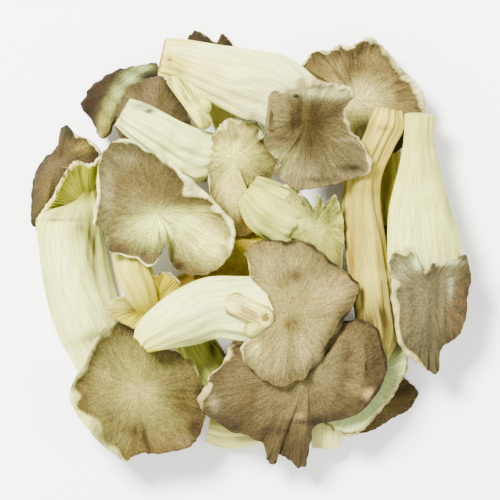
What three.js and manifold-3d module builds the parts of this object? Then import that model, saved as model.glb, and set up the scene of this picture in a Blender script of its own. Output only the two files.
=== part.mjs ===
// Oyster mushroom cluster: a heap of separate mushrooms, each a cap, gills and stem that grew as one piece.
// Plan positions are counted in plan steps from the upper left corner of a 500 by 500 plan seen from above.
// Heights are in millimetres, +Z up, and each mushroom is lowered onto the heap below it.
import * as THREE from 'three';
import Module from 'manifold-3d';
import { mergeVertices } from 'three/addons/utils/BufferGeometryUtils.js';

const wasm = await Module();
wasm.setup();
const { Manifold, Mesh } = wasm;

// Sizes that drive the whole heap
const PLAN_STEP = 0.43; // millimetres for one plan step
const PLAN_MIDDLE = 250; // plan steps from the corner to the heap's centre
const EDGE_FLESH = 2.2; // flesh thickness at a cap's margin
const STEM_FLESH = 7; // flesh thickness where a cap meets its stem
const GILL_DEPTH = 0.9; // how far a gill stands out from the underside
const CAP_COLUMNS = 30; // mesh columns round a plain mushroom
const GILLED_COLUMNS = 72; // mesh columns where the gills are seen
const STEM_COLUMNS = 20; // mesh columns round a stem
const TOP_ROWS = [0.3, 0.58, 0.82, 0.95]; // rows of the cap's upper face, from centre to margin
const UNDER_ROWS = [0.93, 0.72, 0.5, 0.34]; // rows of the gilled face, from margin to stem
const SHOOT_ROWS = 3; // mesh rows on each round end of a side shoot
const SHOOT_COLUMNS = 12; // mesh columns round a side shoot
const STEM_FLATNESS = 0.8; // height of a stem's section as a share of its width
const FLUTE_DEPTH = 0.05; // ridges along a stem, as a share of its radius
const RESTING_GAP = 0.35; // space left where one mushroom rests on another
const CELL = 1; // cell size of the height map used for settling
const SPREAD = 125; // half width of that height map
const MAP_SIDE = Math.round((2 * SPREAD) / CELL); // cells along one side of it
const SMALLEST_EDGE = 0.05; // shorter edges are merged away
const BEND_SLOPE = 0.26; // steepest bend of a mushroom that sags over the heap
const BEND_ROUNDING = 4; // cells over which that bend is rounded
const FLAT_DEPTH = 0.8; // how much of the lowest flesh is pressed flat on the table

const tones = {
  brown: [0.36, 0.27, 0.18],
  grey: [0.5, 0.44, 0.34],
  beige: [0.62, 0.56, 0.44],
  cream: [0.85, 0.83, 0.66],
  ochre: [0.72, 0.62, 0.34],
};

// One mushroom: rim points are [across, down, height], stem points [across, down, height, radius]
const mushrooms = [
  {
    name: 'low_cap_back_left', tone: 'brown',
    pole: [108, 92, 3], curve: 1.5, roll: 1,
    rim: [[77, 102, -4], [80, 93, -5], [90, 80, -5], [112, 68, -4], [121, 64, -4], [143, 59, -2],
      [154, 62, 1], [150, 78, 5], [134, 88, 7], [120, 102, 8], [112, 120, 8], [100, 134, 6], [90, 120, 0]],
    stem: [[118, 104, -5, 16], [140, 126, -7, 15], [158, 150, -8, 14]],
  },
  {
    name: 'low_cap_back', tone: 'brown',
    pole: [206, 62, 4], curve: 1.8, roll: 1,
    rim: [[180, 52, 0], [185, 40, 1], [194, 28, 0], [206, 35, 1], [217, 39, 0], [222, 31, 0], [229, 37, 1],
      [238, 60, 0], [232, 84, -2], [210, 94, -3], [188, 84, -2]],
    stem: [[208, 72, -4, 13], [218, 100, -6, 12], [226, 128, -7, 11]],
  },
  {
    name: 'low_cap_front_right', tone: 'brown',
    pole: [376, 400, 4], curve: 1.8, roll: 1,
    rim: [[398, 376, -2], [411, 383, -3], [420, 395, -4], [416, 408, -4], [397, 421, -4], [376, 433, -4],
      [350, 437, -3], [334, 420, 0], [338, 392, 0], [368, 372, 0]],
    stem: [[366, 396, -4, 14], [340, 380, -6, 13], [312, 366, -7, 12]],
  },
  {
    name: 'low_cap_middle', tone: 'ochre',
    pole: [256, 262, 4], curve: 1.8, roll: 1,
    rim: [[188, 254, 1], [206, 236, 1], [238, 222, 0], [270, 216, 0], [304, 226, 0], [320, 250, -1],
      [314, 284, -2], [290, 304, -2], [256, 312, -2], [222, 302, -1], [196, 282, 0]],
    stem: [[240, 266, -4, 17], [214, 276, -6, 17], [184, 290, -6, 15], [160, 298, -6, 13]],
  },
  {
    name: 'low_stem_front', tone: 'cream',
    pole: [262, 380, 3], curve: 1.8, roll: 1,
    rim: [[236, 380, 0], [246, 352, 0], [272, 340, 0], [298, 350, 0], [306, 380, -1], [298, 402, -1],
      [268, 412, -1], [242, 402, 0]],
    stem: [[246, 388, -5, 18], [224, 386, -5, 20], [206, 368, -5, 22], [194, 348, -5, 20], [186, 332, -5, 15]],
  },
  {
    name: 'low_stem_bottom', tone: 'cream',
    pole: [290, 422, 3], curve: 1.8, roll: 1,
    rim: [[272, 424, 0], [276, 406, 0], [292, 398, 0], [306, 408, 0], [308, 428, -1], [298, 440, -1],
      [282, 440, -1]],
    stem: [[274, 426, -4, 13], [250, 432, -5, 15], [226, 434, -5, 15], [206, 430, -5, 13]],
  },
  {
    name: 'low_stem_front_right', tone: 'cream',
    pole: [330, 352, 3], curve: 1.8, roll: 1,
    rim: [[308, 352, 0], [316, 330, 0], [338, 322, 0], [356, 336, 0], [360, 356, -1], [344, 368, -1],
      [322, 366, 0]],
    stem: [[330, 366, -4, 13], [328, 400, -5, 14], [327, 430, -5, 15], [327, 452, -5, 13]],
  },
  {
    name: 'low_stem_right', tone: 'cream',
    pole: [400, 266, 3], curve: 1.8, roll: 1,
    rim: [[370, 260, 0], [378, 230, 0], [402, 222, 0], [424, 236, 0], [432, 270, -1], [424, 306, -1],
      [404, 336, -1], [384, 330, -1], [372, 296, 0]],
    stem: [[396, 244, -5, 14], [389, 204, -6, 15], [388, 160, -6, 15], [390, 132, -5, 12]],
  },
  {
    name: 'gilled_cap_left', tone: 'cream', gillsUp: true, columns: GILLED_COLUMNS,
    pole: [84, 204, -9], curve: 1.7, roll: 0,
    rim: [[32, 222, 2], [41, 210, 5], [51, 195, 7], [59, 179, 8], [69, 165, 8], [78, 159, 8],
      [90, 164, 8], [102, 153, 8], [112, 170, 3], [112, 200, 0], [102, 222, -2], [70, 232, -2], [46, 232, 0]],
    rolledOver: {
      pole: [54, 166, 7], curve: 1.8, roll: 1,
      rim: [[28, 223, 1], [29, 200, 1], [30, 177, 1], [37, 160, 1], [51, 149, 1], [56, 138, 0], [57, 127, -1],
        [64, 124, -1], [73, 132, 0], [89, 140, 1], [97, 150, 2], [98, 162, 3], [88, 172, 3], [78, 175, 3],
        [68, 184, 3], [60, 196, 2], [50, 210, 1], [38, 226, 0]],
    },
    stem: [[68, 214, 5, 29], [68, 244, 3, 32], [74, 280, 1, 33], [86, 320, 0, 33], [98, 356, 0, 26],
      [104, 376, 0, 20]],
  },
  {
    name: 'cap_back_right', tone: 'beige',
    humps: [[346, 66, 7, 14, 2.5], [318, 70, 12, 14, 3], [388, 82, 10, 22, -2]],
    pole: [358, 100, -3], curve: 1.7, roll: -1.5,
    rim: [[290, 60, 0], [300, 64, 2], [314, 49, 1], [330, 50, 3], [341, 43, 1], [352, 46, 3], [371, 35, 3],
      [386, 46, 5], [402, 65, 6], [417, 80, 6], [426, 102, 5], [420, 128, 2], [396, 150, 0], [362, 156, -2],
      [328, 144, -2], [302, 116, -1], [288, 84, -1]],
    stem: [[346, 116, -10, 16], [326, 146, -12, 15], [312, 174, -12, 14]],
  },
  {
    name: 'cap_behind_left', tone: 'brown',
    pole: [154, 116, 4], curve: 1.9, roll: 1.5,
    rim: [[118, 108, -1], [124, 93, 0], [132, 83, 0], [153, 77, 0], [167, 81, 0], [178, 96, -1], [191, 122, -2],
      [190, 148, -3], [164, 162, -3], [134, 152, -2], [118, 132, -1]],
    stem: [[166, 130, -4, 14], [186, 154, -6, 13], [206, 176, -7, 12]],
  },
  {
    name: 'mid_left_of_centre', tone: 'beige',
    humps: [[244, 146, 16, 16, 2], [222, 176, 8, 22, -2], [240, 206, 10, 18, 2]],
    pole: [234, 158, 3], curve: 1.7, roll: 1,
    rim: [[210, 146, 1], [214, 132, 2], [222, 126, 2], [232, 120, 3], [250, 120, 2], [261, 130, 0],
      [266, 142, -1], [279, 166, -2], [266, 184, -2], [248, 194, -2], [256, 212, -4], [256, 229, -6],
      [235, 239, -7], [222, 214, -4], [212, 200, -2], [207, 172, 1]],
    stem: [[206, 158, -6, 25], [182, 148, -6, 24], [156, 132, -5, 21], [136, 120, -4, 18], [122, 112, -3, 14]],
  },
  {
    name: 'yellow_stem_right', tone: 'ochre', gillsUp: true,
    pole: [366, 378, -4], curve: 1.7, roll: 0,
    rim: [[394, 330, 0], [406, 342, 2], [409, 368, 3], [401, 384, 2], [387, 404, 2], [368, 426, 1],
      [346, 436, 0], [322, 420, -1], [312, 384, -1], [328, 352, -1], [356, 334, -1]],
    stem: [[376, 342, 9, 19], [374, 304, 8, 19], [368, 250, 6, 20], [362, 206, 4, 19], [364, 172, 3, 17],
      [378, 140, 3, 15], [386, 122, 3, 16], [389, 106, 3, 11]],
  },
  {
    name: 'cap_front_left', tone: 'beige',
    humps: [[190, 404, 12, 30, 3], [166, 372, 16, 12, 2], [139, 440, 8, 14, 2]],
    pole: [138, 392, -3], curve: 1.6, roll: -1.5,
    rim: [[115, 321, 4], [96, 339, 5], [85, 360, 5], [69, 389, 5], [75, 411, 5], [102, 445, 4], [124, 462, 3],
      [132, 456, 2], [143, 451, 2], [155, 454, 1], [182, 448, 0], [197, 436, -1], [207, 410, -1],
      [210, 397, -1], [197, 373, -1], [178, 352, 0], [159, 346, 1], [143, 326, 3], [127, 319, 4]],
    stem: [[150, 388, -10, 17], [176, 380, -12, 16], [200, 372, -12, 15]],
  },
  {
    name: 'cap_front', tone: 'grey',
    humps: [[232, 392, 16, 26, 3], [258, 404, 8, 22, -2], [362, 372, 10, 30, 3], [346, 392, 7, 26, -2],
      [300, 430, 14, 14, 2]],
    pole: [306, 372, 5], curve: 1.9, roll: 1.5,
    rim: [[344, 322, -1], [361, 321, -1], [375, 328, -1], [383, 352, -2], [385, 369, -2], [377, 394, -3],
      [354, 417, -3], [318, 426, -4], [310, 442, -5], [307, 464, -7], [299, 469, -8], [290, 462, -8],
      [280, 456, -7], [274, 466, -8], [267, 462, -8], [266, 446, -6], [250, 437, -4], [231, 433, -4],
      [212, 418, -3], [201, 401, -3], [210, 385, -1], [208, 377, -1], [223, 360, 0], [230, 346, 1],
      [242, 338, 1], [274, 332, 0], [312, 326, 0]],
    stem: [[300, 360, -5, 16], [296, 334, -7, 15], [292, 306, -8, 14]],
  },
  {
    name: 'small_gilled', tone: 'ochre', gillsUp: true, columns: GILLED_COLUMNS,
    pole: [148, 306, -4], curve: 1.5, roll: 0,
    rim: [[108, 311, 2], [117, 320, 2], [140, 330, 1], [164, 328, 1], [184, 306, 3], [182, 286, 4],
      [166, 271, 4], [150, 280, 3], [126, 294, 2], [112, 300, 2]],
    stem: [[142, 290, 3, 16], [134, 270, 4, 17], [130, 246, 4, 17], [130, 222, 4, 14]],
  },
  {
    name: 'torn_centre', tone: 'cream',
    pole: [312, 228, 3], curve: 1.7, roll: 1,
    rim: [[276, 188, 2], [294, 190, 1], [316, 209, 3], [318, 196, 5], [326, 206, 3], [335, 196, 5], [343, 217, 1],
      [344, 245, -1], [341, 269, -3], [324, 257, -1], [300, 244, -1], [280, 238, -1], [270, 212, 0]],
    stem: [[296, 222, -5, 24], [280, 214, -5, 27], [264, 204, -4, 25], [252, 194, -3, 18], [247, 190, -3, 14]],
  },
  {
    name: 'stem_and_cap_right', tone: 'cream',
    humps: [[420, 266, 9, 10, 2.5], [452, 296, 12, 26, 2.5], [440, 300, 6, 30, -2], [406, 310, 8, 30, 2]],
    pole: [428, 288, 2], curve: 1.6, roll: 0,
    rim: [[388, 256, 2], [388, 281, 1], [393, 311, -1], [400, 345, -4], [419, 363, -6], [431, 373, -8],
      [438, 372, -8], [441, 351, -6], [459, 337, -6], [466, 319, -5], [468, 298, -3], [471, 273, -2],
      [464, 256, 0], [448, 262, 3], [432, 264, 4], [420, 270, 5], [412, 251, 4], [400, 252, 3]],
    stem: [[426, 272, -9, 34], [425, 238, -7, 35], [421, 204, -5, 29], [420, 169, -3, 20], [419, 140, -1, 14],
      [420, 112, 1, 14]],
  },
  {
    name: 'big_cap_left', tone: 'beige',
    humps: [[204, 248, 20, 16, 5], [178, 232, 9, 18, -3], [196, 214, 16, 12, -2], [124, 200, 18, 34, 2]],
    pole: [158, 212, -3], curve: 1.7, roll: -1.5,
    rim: [[121, 140, 2], [136, 142, 4], [151, 150, 5], [165, 156, 6], [179, 169, 7], [193, 183, 8],
      [213, 200, 8], [223, 211, 8], [233, 221, 7], [235, 239, 5], [232, 252, 3], [223, 266, 1], [210, 274, 0],
      [192, 275, 0], [178, 269, 0], [171, 258, 1], [168, 243, 2], [163, 250, 0], [159, 260, -1], [151, 266, -1],
      [135, 257, -2], [114, 253, -2], [107, 240, -2], [104, 228, -2], [96, 220, -2], [99, 191, -1],
      [100, 161, 0], [108, 146, 1]],
    stem: [[170, 222, -10, 16], [196, 232, -12, 15], [222, 244, -12, 14]],
  },
  {
    name: 'stem_and_cap_centre', tone: 'grey',
    humps: [[272, 262, 16, 14, 2], [300, 330, 26, 26, -2], [334, 300, 14, 30, 2]],
    pole: [290, 314, 4], curve: 1.8, roll: 1.2,
    rim: [[249, 250, 0], [264, 240, 0], [284, 241, 0], [308, 244, -1], [333, 262, -2], [358, 283, -3],
      [356, 299, -3], [345, 319, -3], [325, 349, -3], [306, 376, -3], [298, 380, -3], [285, 386, -3],
      [271, 383, -3], [253, 369, -2], [242, 347, -1], [264, 328, 2], [269, 316, 2], [265, 292, 2], [251, 278, 1],
      [248, 262, 0]],
    stem: [[280, 308, -9, 30], [250, 307, -8, 31], [214, 306, -7, 30], [189, 316, -6, 28], [168, 326, -5, 23],
      [150, 337, -4, 16], [142, 345, -4, 9]],
    branches: [[[262, 316, 1, 12], [236, 304, 2, 12]], [[262, 316, 1, 12], [252, 328, 1, 8]]],
  },
  {
    name: 'stem_and_cap_top', tone: 'grey',
    humps: [[284, 112, 12, 22, 3.5], [302, 110, 5, 18, -2], [326, 124, 14, 12, -2], [340, 162, 18, 12, 2]],
    pole: [308, 122, 3], curve: 1.7, roll: 0,
    rim: [[354, 96, 1], [347, 115, 0], [354, 135, -1], [360, 140, -2], [372, 167, -4], [346, 181, -5],
      [303, 191, -6], [290, 188, -6], [276, 172, -5], [280, 163, -4], [264, 147, -3], [266, 125, 0],
      [270, 104, 3], [284, 90, 5], [306, 82, 6], [330, 84, 5], [344, 88, 3]],
    stem: [[302, 112, -10, 30], [274, 89, -9, 34], [250, 83, -8, 34], [207, 70, -6, 26], [180, 61, -5, 21],
      [160, 57, -4, 18]],
    branches: [[[178, 80, -5, 11], [204, 122, -8, 8]], [[184, 76, -5, 12], [200, 106, -8, 12]],
      [[276, 100, 1, 8], [272, 126, -1, 7]]],
  },
];

const across = (step) => (step - PLAN_MIDDLE) * PLAN_STEP;
const along = (step) => (PLAN_MIDDLE - step) * PLAN_STEP;

function place([x, y, z]) {
  return new THREE.Vector3(across(x), along(y), z);
}

// A closed smooth curve through the rim points
function rimCurve(points, columns) {
  const knots = points.map(([x, y, z]) => [across(x), along(y), z]);
  const count = knots.length;
  const samples = [];
  for (let column = 0; column < columns; column += 1) {
    const along01 = (column / columns) * count;
    const k = Math.floor(along01);
    const t = along01 - k;
    const [a, b, c, d] = [-1, 0, 1, 2].map((shift) => knots[(k + shift + count) % count]);
    samples.push(b.map((value, i) => {
      const slopeIn = 0.5 * (c[i] - a[i]);
      const slopeOut = 0.5 * (d[i] - b[i]);
      const t2 = t * t;
      const t3 = t2 * t;
      return (2 * t3 - 3 * t2 + 1) * value + (t3 - 2 * t2 + t) * slopeIn
        + (3 * t2 - 2 * t3) * c[i] + (t3 - t2) * slopeOut;
    }));
  }
  return samples;
}

function polygonNormal(samples) {
  const normal = new THREE.Vector3();
  samples.forEach((p, i) => {
    const q = samples[(i + 1) % samples.length];
    normal.x += (p[1] - q[1]) * (p[2] + q[2]);
    normal.y += (p[2] - q[2]) * (p[0] + q[0]);
    normal.z += (p[0] - q[0]) * (p[1] + q[1]);
  });
  return normal.normalize();
}

function smoothStep(low, high, value) {
  const t = Math.min(1, Math.max(0, (value - low) / (high - low)));
  return t * t * (3 - 2 * t);
}

// Folds and lobes: smooth humps given as [across, down, half width, half depth, height]
function humps(spec, x, y) {
  return (spec.humps ?? []).reduce((sum, [left, top, halfWide, halfDeep, height]) => {
    const u = (x - across(left)) / (halfWide * PLAN_STEP);
    const v = (y - along(top)) / (halfDeep * PLAN_STEP);
    return sum + height * Math.exp(-u * u - v * v);
  }, 0);
}

// Joins rows of points, each closed round the axis, into one surface with a point at each end
function skin(start, rows, end) {
  const columns = rows[0].length;
  const positions = [start, ...rows.flat(), end];
  const at = (row, column) => 1 + row * columns + (column % columns);
  const faces = [];
  for (let j = 0; j < columns; j += 1) {
    faces.push([0, at(0, j), at(0, j + 1)]);
    for (let row = 0; row + 1 < rows.length; row += 1) {
      faces.push([at(row, j), at(row + 1, j), at(row + 1, j + 1)]);
      faces.push([at(row, j), at(row + 1, j + 1), at(row, j + 1)]);
    }
    faces.push([at(rows.length - 1, j + 1), at(rows.length - 1, j), positions.length - 1]);
  }
  return { positions, faces };
}

// The cap is one closed skin over flesh that thins to the margin, and the stem is another rooted in it
function mushroomMesh(spec) {
  const columns = spec.columns ?? CAP_COLUMNS;
  const plan = spec.rim.map((p) => [across(p[0]), along(p[1]), 0]);
  const facesUp = polygonNormal(plan).z > 0;
  const ordered = facesUp === !spec.gillsUp ? spec.rim : [...spec.rim].reverse();
  const rim = rimCurve(ordered, columns);
  const normal = polygonNormal(rim);
  const pole = place(spec.pole);
  const capPoint = ([x, y, z], s, drop) => {
    const arm = new THREE.Vector3(x, y, z).sub(pole);
    const rise = arm.dot(normal);
    const flat = arm.clone().addScaledVector(normal, -rise);
    const point = pole.clone().addScaledVector(flat, s);
    const fold = humps(spec, point.x, point.y);
    const height = rise * s ** spec.curve - spec.roll * smoothStep(0.75, 1, s) + fold - drop;
    return point.addScaledVector(normal, height);
  };
  const flesh = (s) => EDGE_FLESH + (STEM_FLESH - EDGE_FLESH) * (1 - s) ** 1.4;
  const gill = (j, s) => (j % 2 === 0 ? GILL_DEPTH * Math.sin(Math.PI * Math.min(1, s * 0.95 + 0.08)) : 0);
  const capRows = [
    ...TOP_ROWS.map((s) => rim.map((p) => capPoint(p, s, 0))),
    rim.map((p) => capPoint(p, 1, EDGE_FLESH * 0.35)),
    ...UNDER_ROWS.map((s) => rim.map((p, j) => capPoint(p, s, flesh(s) + gill(j, s)))),
  ];
  const crown = capPoint(rim[0], 0, 0);
  const cap = skin(crown, capRows, capPoint(rim[0], 0, STEM_FLESH));

  const centres = spec.stem.map(place);
  const aims = centres.map((c, i) => {
    const from = centres[Math.max(0, i - 1)];
    const to = centres[Math.min(centres.length - 1, i + 1)];
    return to.clone().sub(from).normalize();
  });
  const rings = centres.map((centre, i) => {
    const side = new THREE.Vector3(0, 0, 1).cross(aims[i]).normalize();
    const upward = aims[i].clone().cross(side).normalize();
    const radius = spec.stem[i][3] * PLAN_STEP;
    return Array.from({ length: STEM_COLUMNS }, (_, j) => {
      const angle = (-2 * Math.PI * j) / STEM_COLUMNS;
      const ridge = 1 + (j % 2 === 0 ? FLUTE_DEPTH : 0) + 0.06 * Math.sin(3 * angle + i);
      return centre.clone()
        .addScaledVector(side, radius * ridge * Math.cos(angle))
        .addScaledVector(upward, radius * ridge * STEM_FLATNESS * Math.sin(angle));
    });
  });
  const root = capPoint(rim[0], 0, STEM_FLESH * 0.55);
  const last = centres.length - 1;
  const stem = skin(root, rings, centres[last].clone().addScaledVector(aims[last], 0.8));
  // a margin rolled right over shows the cap's outer face beside its gills, as a second skin joined to the cap
  const outerFace = spec.rolledOver ? [mushroomMesh({ ...spec.rolledOver, stem: spec.stem })[0]] : [];
  return [cap, stem, ...outerFace];
}

// A short side shoot or curled lobe: a tapered peg with round ends, turned about its own axis
function shootMesh([[x1, y1, z1, r1], [x2, y2, z2, r2]]) {
  const from = place([x1, y1, z1]);
  const to = place([x2, y2, z2]);
  const axis = to.clone().sub(from);
  const length = axis.length();
  const profile = [];
  for (let k = 0; k <= SHOOT_ROWS; k += 1) {
    const turn = (Math.PI / 2) * (k / SHOOT_ROWS);
    profile.push(new THREE.Vector2(r1 * PLAN_STEP * Math.sin(turn), -r1 * PLAN_STEP * Math.cos(turn)));
  }
  for (let k = SHOOT_ROWS; k >= 0; k -= 1) {
    const turn = (Math.PI / 2) * (k / SHOOT_ROWS);
    profile.push(new THREE.Vector2(r2 * PLAN_STEP * Math.sin(turn), length + r2 * PLAN_STEP * Math.cos(turn)));
  }
  profile[0].x = 0;
  profile[profile.length - 1].x = 0;
  const lathe = new THREE.LatheGeometry(profile, SHOOT_COLUMNS);
  lathe.deleteAttribute('normal');
  lathe.deleteAttribute('uv');
  const peg = mergeVertices(lathe, 1e-4);
  const stand = new THREE.Quaternion().setFromUnitVectors(new THREE.Vector3(0, 1, 0), axis.normalize());
  const spots = peg.getAttribute('position');
  const positions = [];
  for (let i = 0; i < spots.count; i += 1) {
    positions.push(new THREE.Vector3().fromBufferAttribute(spots, i).applyQuaternion(stand).add(from));
  }
  const faces = [];
  for (let i = 0; i < peg.index.count; i += 3) {
    const face = [0, 1, 2].map((k) => peg.index.getX(i + k));
    if (new Set(face).size === 3) faces.push(face);
  }
  return { positions, faces };
}

function toSolid({ positions, faces }) {
  const mesh = new Mesh({
    numProp: 3,
    vertProperties: Float32Array.from(positions.flatMap((p) => [p.x, p.y, p.z])),
    triVerts: Uint32Array.from(faces.flat()),
  });
  return new Manifold(mesh);
}

// Highest or lowest point of the given surfaces over every cell of the table
function heightMap(surfaces, upper) {
  const map = new Float32Array(MAP_SIDE * MAP_SIDE).fill(upper ? -Infinity : Infinity);
  const corners = surfaces.flatMap(({ positions, faces }) => (
    faces.map((face) => face.map((i) => positions[i].toArray()))));
  corners.forEach(([a, b, c]) => {
    const area = (b[0] - a[0]) * (c[1] - a[1]) - (b[1] - a[1]) * (c[0] - a[0]);
    const lowX = Math.floor((Math.min(a[0], b[0], c[0]) + SPREAD) / CELL);
    const highX = Math.ceil((Math.max(a[0], b[0], c[0]) + SPREAD) / CELL);
    const lowY = Math.floor((Math.min(a[1], b[1], c[1]) + SPREAD) / CELL);
    const highY = Math.ceil((Math.max(a[1], b[1], c[1]) + SPREAD) / CELL);
    const extreme = upper ? Math.max(a[2], b[2], c[2]) : Math.min(a[2], b[2], c[2]);
    for (let iy = lowY; iy <= highY; iy += 1) {
      for (let ix = lowX; ix <= highX; ix += 1) {
        const x = ix * CELL - SPREAD;
        const y = iy * CELL - SPREAD;
        let z = extreme;
        if (Math.abs(area) > 1e-6) {
          const u = ((x - a[0]) * (c[1] - a[1]) - (y - a[1]) * (c[0] - a[0])) / area;
          const v = ((b[0] - a[0]) * (y - a[1]) - (b[1] - a[1]) * (x - a[0])) / area;
          const reach = CELL * 0.75 * Math.sqrt((b[0] - c[0]) ** 2 + (b[1] - c[1]) ** 2 + 1) / Math.abs(area);
          const slack = Math.min(0.5, reach);
          if (u < -slack || v < -slack || u + v > 1 + slack) continue;
          z = a[2] + u * (b[2] - a[2]) + v * (c[2] - a[2]);
          z = upper ? Math.min(extreme, z) : Math.max(extreme, z);
        }
        const cell = iy * MAP_SIDE + ix;
        map[cell] = upper ? Math.max(map[cell], z) : Math.min(map[cell], z);
      }
    }
  });
  return map;
}

// How far each cell of a mushroom's underside has to rise to clear the heap below it
function neededRise(surfaces, heap) {
  const under = heightMap(surfaces, false);
  const rise = new Float32Array(MAP_SIDE * MAP_SIDE).fill(-Infinity);
  for (let iy = 1; iy < MAP_SIDE - 1; iy += 1) {
    for (let ix = 1; ix < MAP_SIDE - 1; ix += 1) {
      const cell = iy * MAP_SIDE + ix;
      if (under[cell] === Infinity) continue;
      for (let dy = -1; dy <= 1; dy += 1) {
        for (let dx = -1; dx <= 1; dx += 1) {
          const below = heap[cell + dy * MAP_SIDE + dx];
          const gap = below > -FLAT_DEPTH ? RESTING_GAP : 0;
          rise[cell] = Math.max(rise[cell], below + gap - under[cell]);
        }
      }
    }
  }
  return rise;
}

// The lowest cover of the needed rise that nowhere slopes more than the flesh can bend
function bendOver(rise) {
  const bend = rise.slice();
  const steps = [[-1, 0, 1], [0, -1, 1], [-1, -1, Math.SQRT2], [1, -1, Math.SQRT2]];
  const relax = (ix, iy, sense) => steps.forEach(([dx, dy, distance]) => {
    const near = bend[(iy + sense * dy) * MAP_SIDE + ix + sense * dx];
    const cell = iy * MAP_SIDE + ix;
    bend[cell] = Math.max(bend[cell], near - BEND_SLOPE * CELL * distance);
  });
  for (let iy = 1; iy < MAP_SIDE - 1; iy += 1) {
    for (let ix = 1; ix < MAP_SIDE - 1; ix += 1) relax(ix, iy, 1);
  }
  for (let iy = MAP_SIDE - 2; iy > 0; iy -= 1) {
    for (let ix = MAP_SIDE - 2; ix > 0; ix -= 1) relax(ix, iy, -1);
  }
  return bend;
}

// A running mean along rows and then along columns, which rounds the creases of the bend
function rounded(map) {
  let soft = map;
  [1, MAP_SIDE, 1, MAP_SIDE].forEach((stride) => {
    const next = soft.slice();
    for (let iy = BEND_ROUNDING; iy < MAP_SIDE - BEND_ROUNDING; iy += 1) {
      for (let ix = BEND_ROUNDING; ix < MAP_SIDE - BEND_ROUNDING; ix += 1) {
        const cell = iy * MAP_SIDE + ix;
        let sum = 0;
        for (let k = -BEND_ROUNDING; k <= BEND_ROUNDING; k += 1) sum += soft[cell + k * stride];
        next[cell] = sum / (2 * BEND_ROUNDING + 1);
      }
    }
    soft = next;
  });
  return soft;
}

function valueAt(map, x, y) {
  const gx = (x + SPREAD) / CELL;
  const gy = (y + SPREAD) / CELL;
  const ix = Math.floor(gx);
  const iy = Math.floor(gy);
  const [u, v] = [gx - ix, gy - iy];
  const cell = iy * MAP_SIDE + ix;
  return (1 - v) * ((1 - u) * map[cell] + u * map[cell + 1])
    + v * ((1 - u) * map[cell + MAP_SIDE] + u * map[cell + MAP_SIDE + 1]);
}

// Each mushroom sags over the heap until it rests, then the heap grows by its upper face
const heap = new Float32Array(MAP_SIDE * MAP_SIDE).fill(-FLAT_DEPTH);
const settled = mushrooms.map((spec) => {
  const surfaces = [...mushroomMesh(spec), ...(spec.branches ?? []).map(shootMesh)];
  const raise = (rule) => surfaces.forEach(({ positions }) => positions.forEach((p) => { p.z += rule(p); }));
  const bend = rounded(bendOver(neededRise(surfaces, heap)));
  raise((p) => valueAt(bend, p.x, p.y));
  const lift = neededRise(surfaces, heap).reduce((most, rise) => Math.max(most, rise), -Infinity);
  raise(() => lift);
  heightMap(surfaces, true).forEach((z, cell) => { heap[cell] = Math.max(heap[cell], z); });
  const [cap, ...others] = surfaces.map(toSolid);
  const joined = others.reduce((whole, other) => whole.add(other), cap)
    .trimByPlane([0, 0, 1], 0)
    .simplify(SMALLEST_EDGE);
  // only the outer skin is kept, without any small pocket where folds of flesh meet
  const [solid] = joined.decompose().sort((one, other) => other.volume() - one.volume());
  return { spec, solid };
});

const cluster = new THREE.Group();
cluster.name = 'oyster_mushroom_cluster';
settled.forEach(({ spec, solid }) => {
  const mesh = solid.getMesh();
  const geometry = new THREE.BufferGeometry();
  geometry.setAttribute('position', new THREE.BufferAttribute(Float32Array.from(mesh.vertProperties), 3));
  geometry.setIndex(new THREE.BufferAttribute(Uint32Array.from(mesh.triVerts), 1));
  geometry.computeVertexNormals();
  const material = new THREE.MeshStandardMaterial({
    color: new THREE.Color(...tones[spec.tone]), roughness: 0.85, metalness: 0,
  });
  const body = new THREE.Mesh(geometry, material);
  body.name = spec.name;
  cluster.add(body);
});

// The origin is the middle of the heap's outline, on the table
const reach = new THREE.Box3().setFromObject(cluster);
cluster.position.set(-(reach.min.x + reach.max.x) / 2, -(reach.min.y + reach.max.y) / 2, 0);

export default cluster;
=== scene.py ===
import math

import bpy
import numpy as np
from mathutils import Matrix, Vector


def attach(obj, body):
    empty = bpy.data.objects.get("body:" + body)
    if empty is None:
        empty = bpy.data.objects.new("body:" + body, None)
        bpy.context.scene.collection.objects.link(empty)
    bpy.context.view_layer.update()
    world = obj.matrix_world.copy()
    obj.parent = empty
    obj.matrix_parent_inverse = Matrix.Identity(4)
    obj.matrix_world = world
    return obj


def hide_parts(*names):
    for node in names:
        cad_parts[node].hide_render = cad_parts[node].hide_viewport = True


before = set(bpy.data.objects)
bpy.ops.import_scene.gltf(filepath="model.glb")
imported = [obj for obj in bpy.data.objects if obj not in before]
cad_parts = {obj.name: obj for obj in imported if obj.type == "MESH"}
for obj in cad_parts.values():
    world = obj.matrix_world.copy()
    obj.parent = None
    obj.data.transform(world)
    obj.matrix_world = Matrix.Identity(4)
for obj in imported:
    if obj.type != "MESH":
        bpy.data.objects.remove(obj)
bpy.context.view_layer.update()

# Camera, floor and light
# The heap lies on a plain pale table and is seen from straight above with a long lens.
# Large soft lamps stand round it, so that its shadows are faint on the table and warm in the gaps.
PLAN_STEP = 0.43
PLAN_MIDDLE = 250
HEAP_SHIFT = np.array([0.2907, -0.8169, 0.0])
VIEW_HEIGHT_MM = 25.0
LENS_MM = 250.0
SENSOR_MM = 36.0
frame_width = 2 * PLAN_MIDDLE * PLAN_STEP * 0.001
camera_data = bpy.data.cameras.new("camera")
camera_data.lens = LENS_MM
camera_data.sensor_width = SENSOR_MM
camera_data.clip_end = 50.0
camera = bpy.data.objects.new("camera", camera_data)
camera_distance = frame_width * LENS_MM / SENSOR_MM
camera.location = (HEAP_SHIFT[0] * 0.001, HEAP_SHIFT[1] * 0.001, VIEW_HEIGHT_MM * 0.001 + camera_distance)
bpy.context.scene.collection.objects.link(camera)
bpy.context.scene.camera = camera

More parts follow.
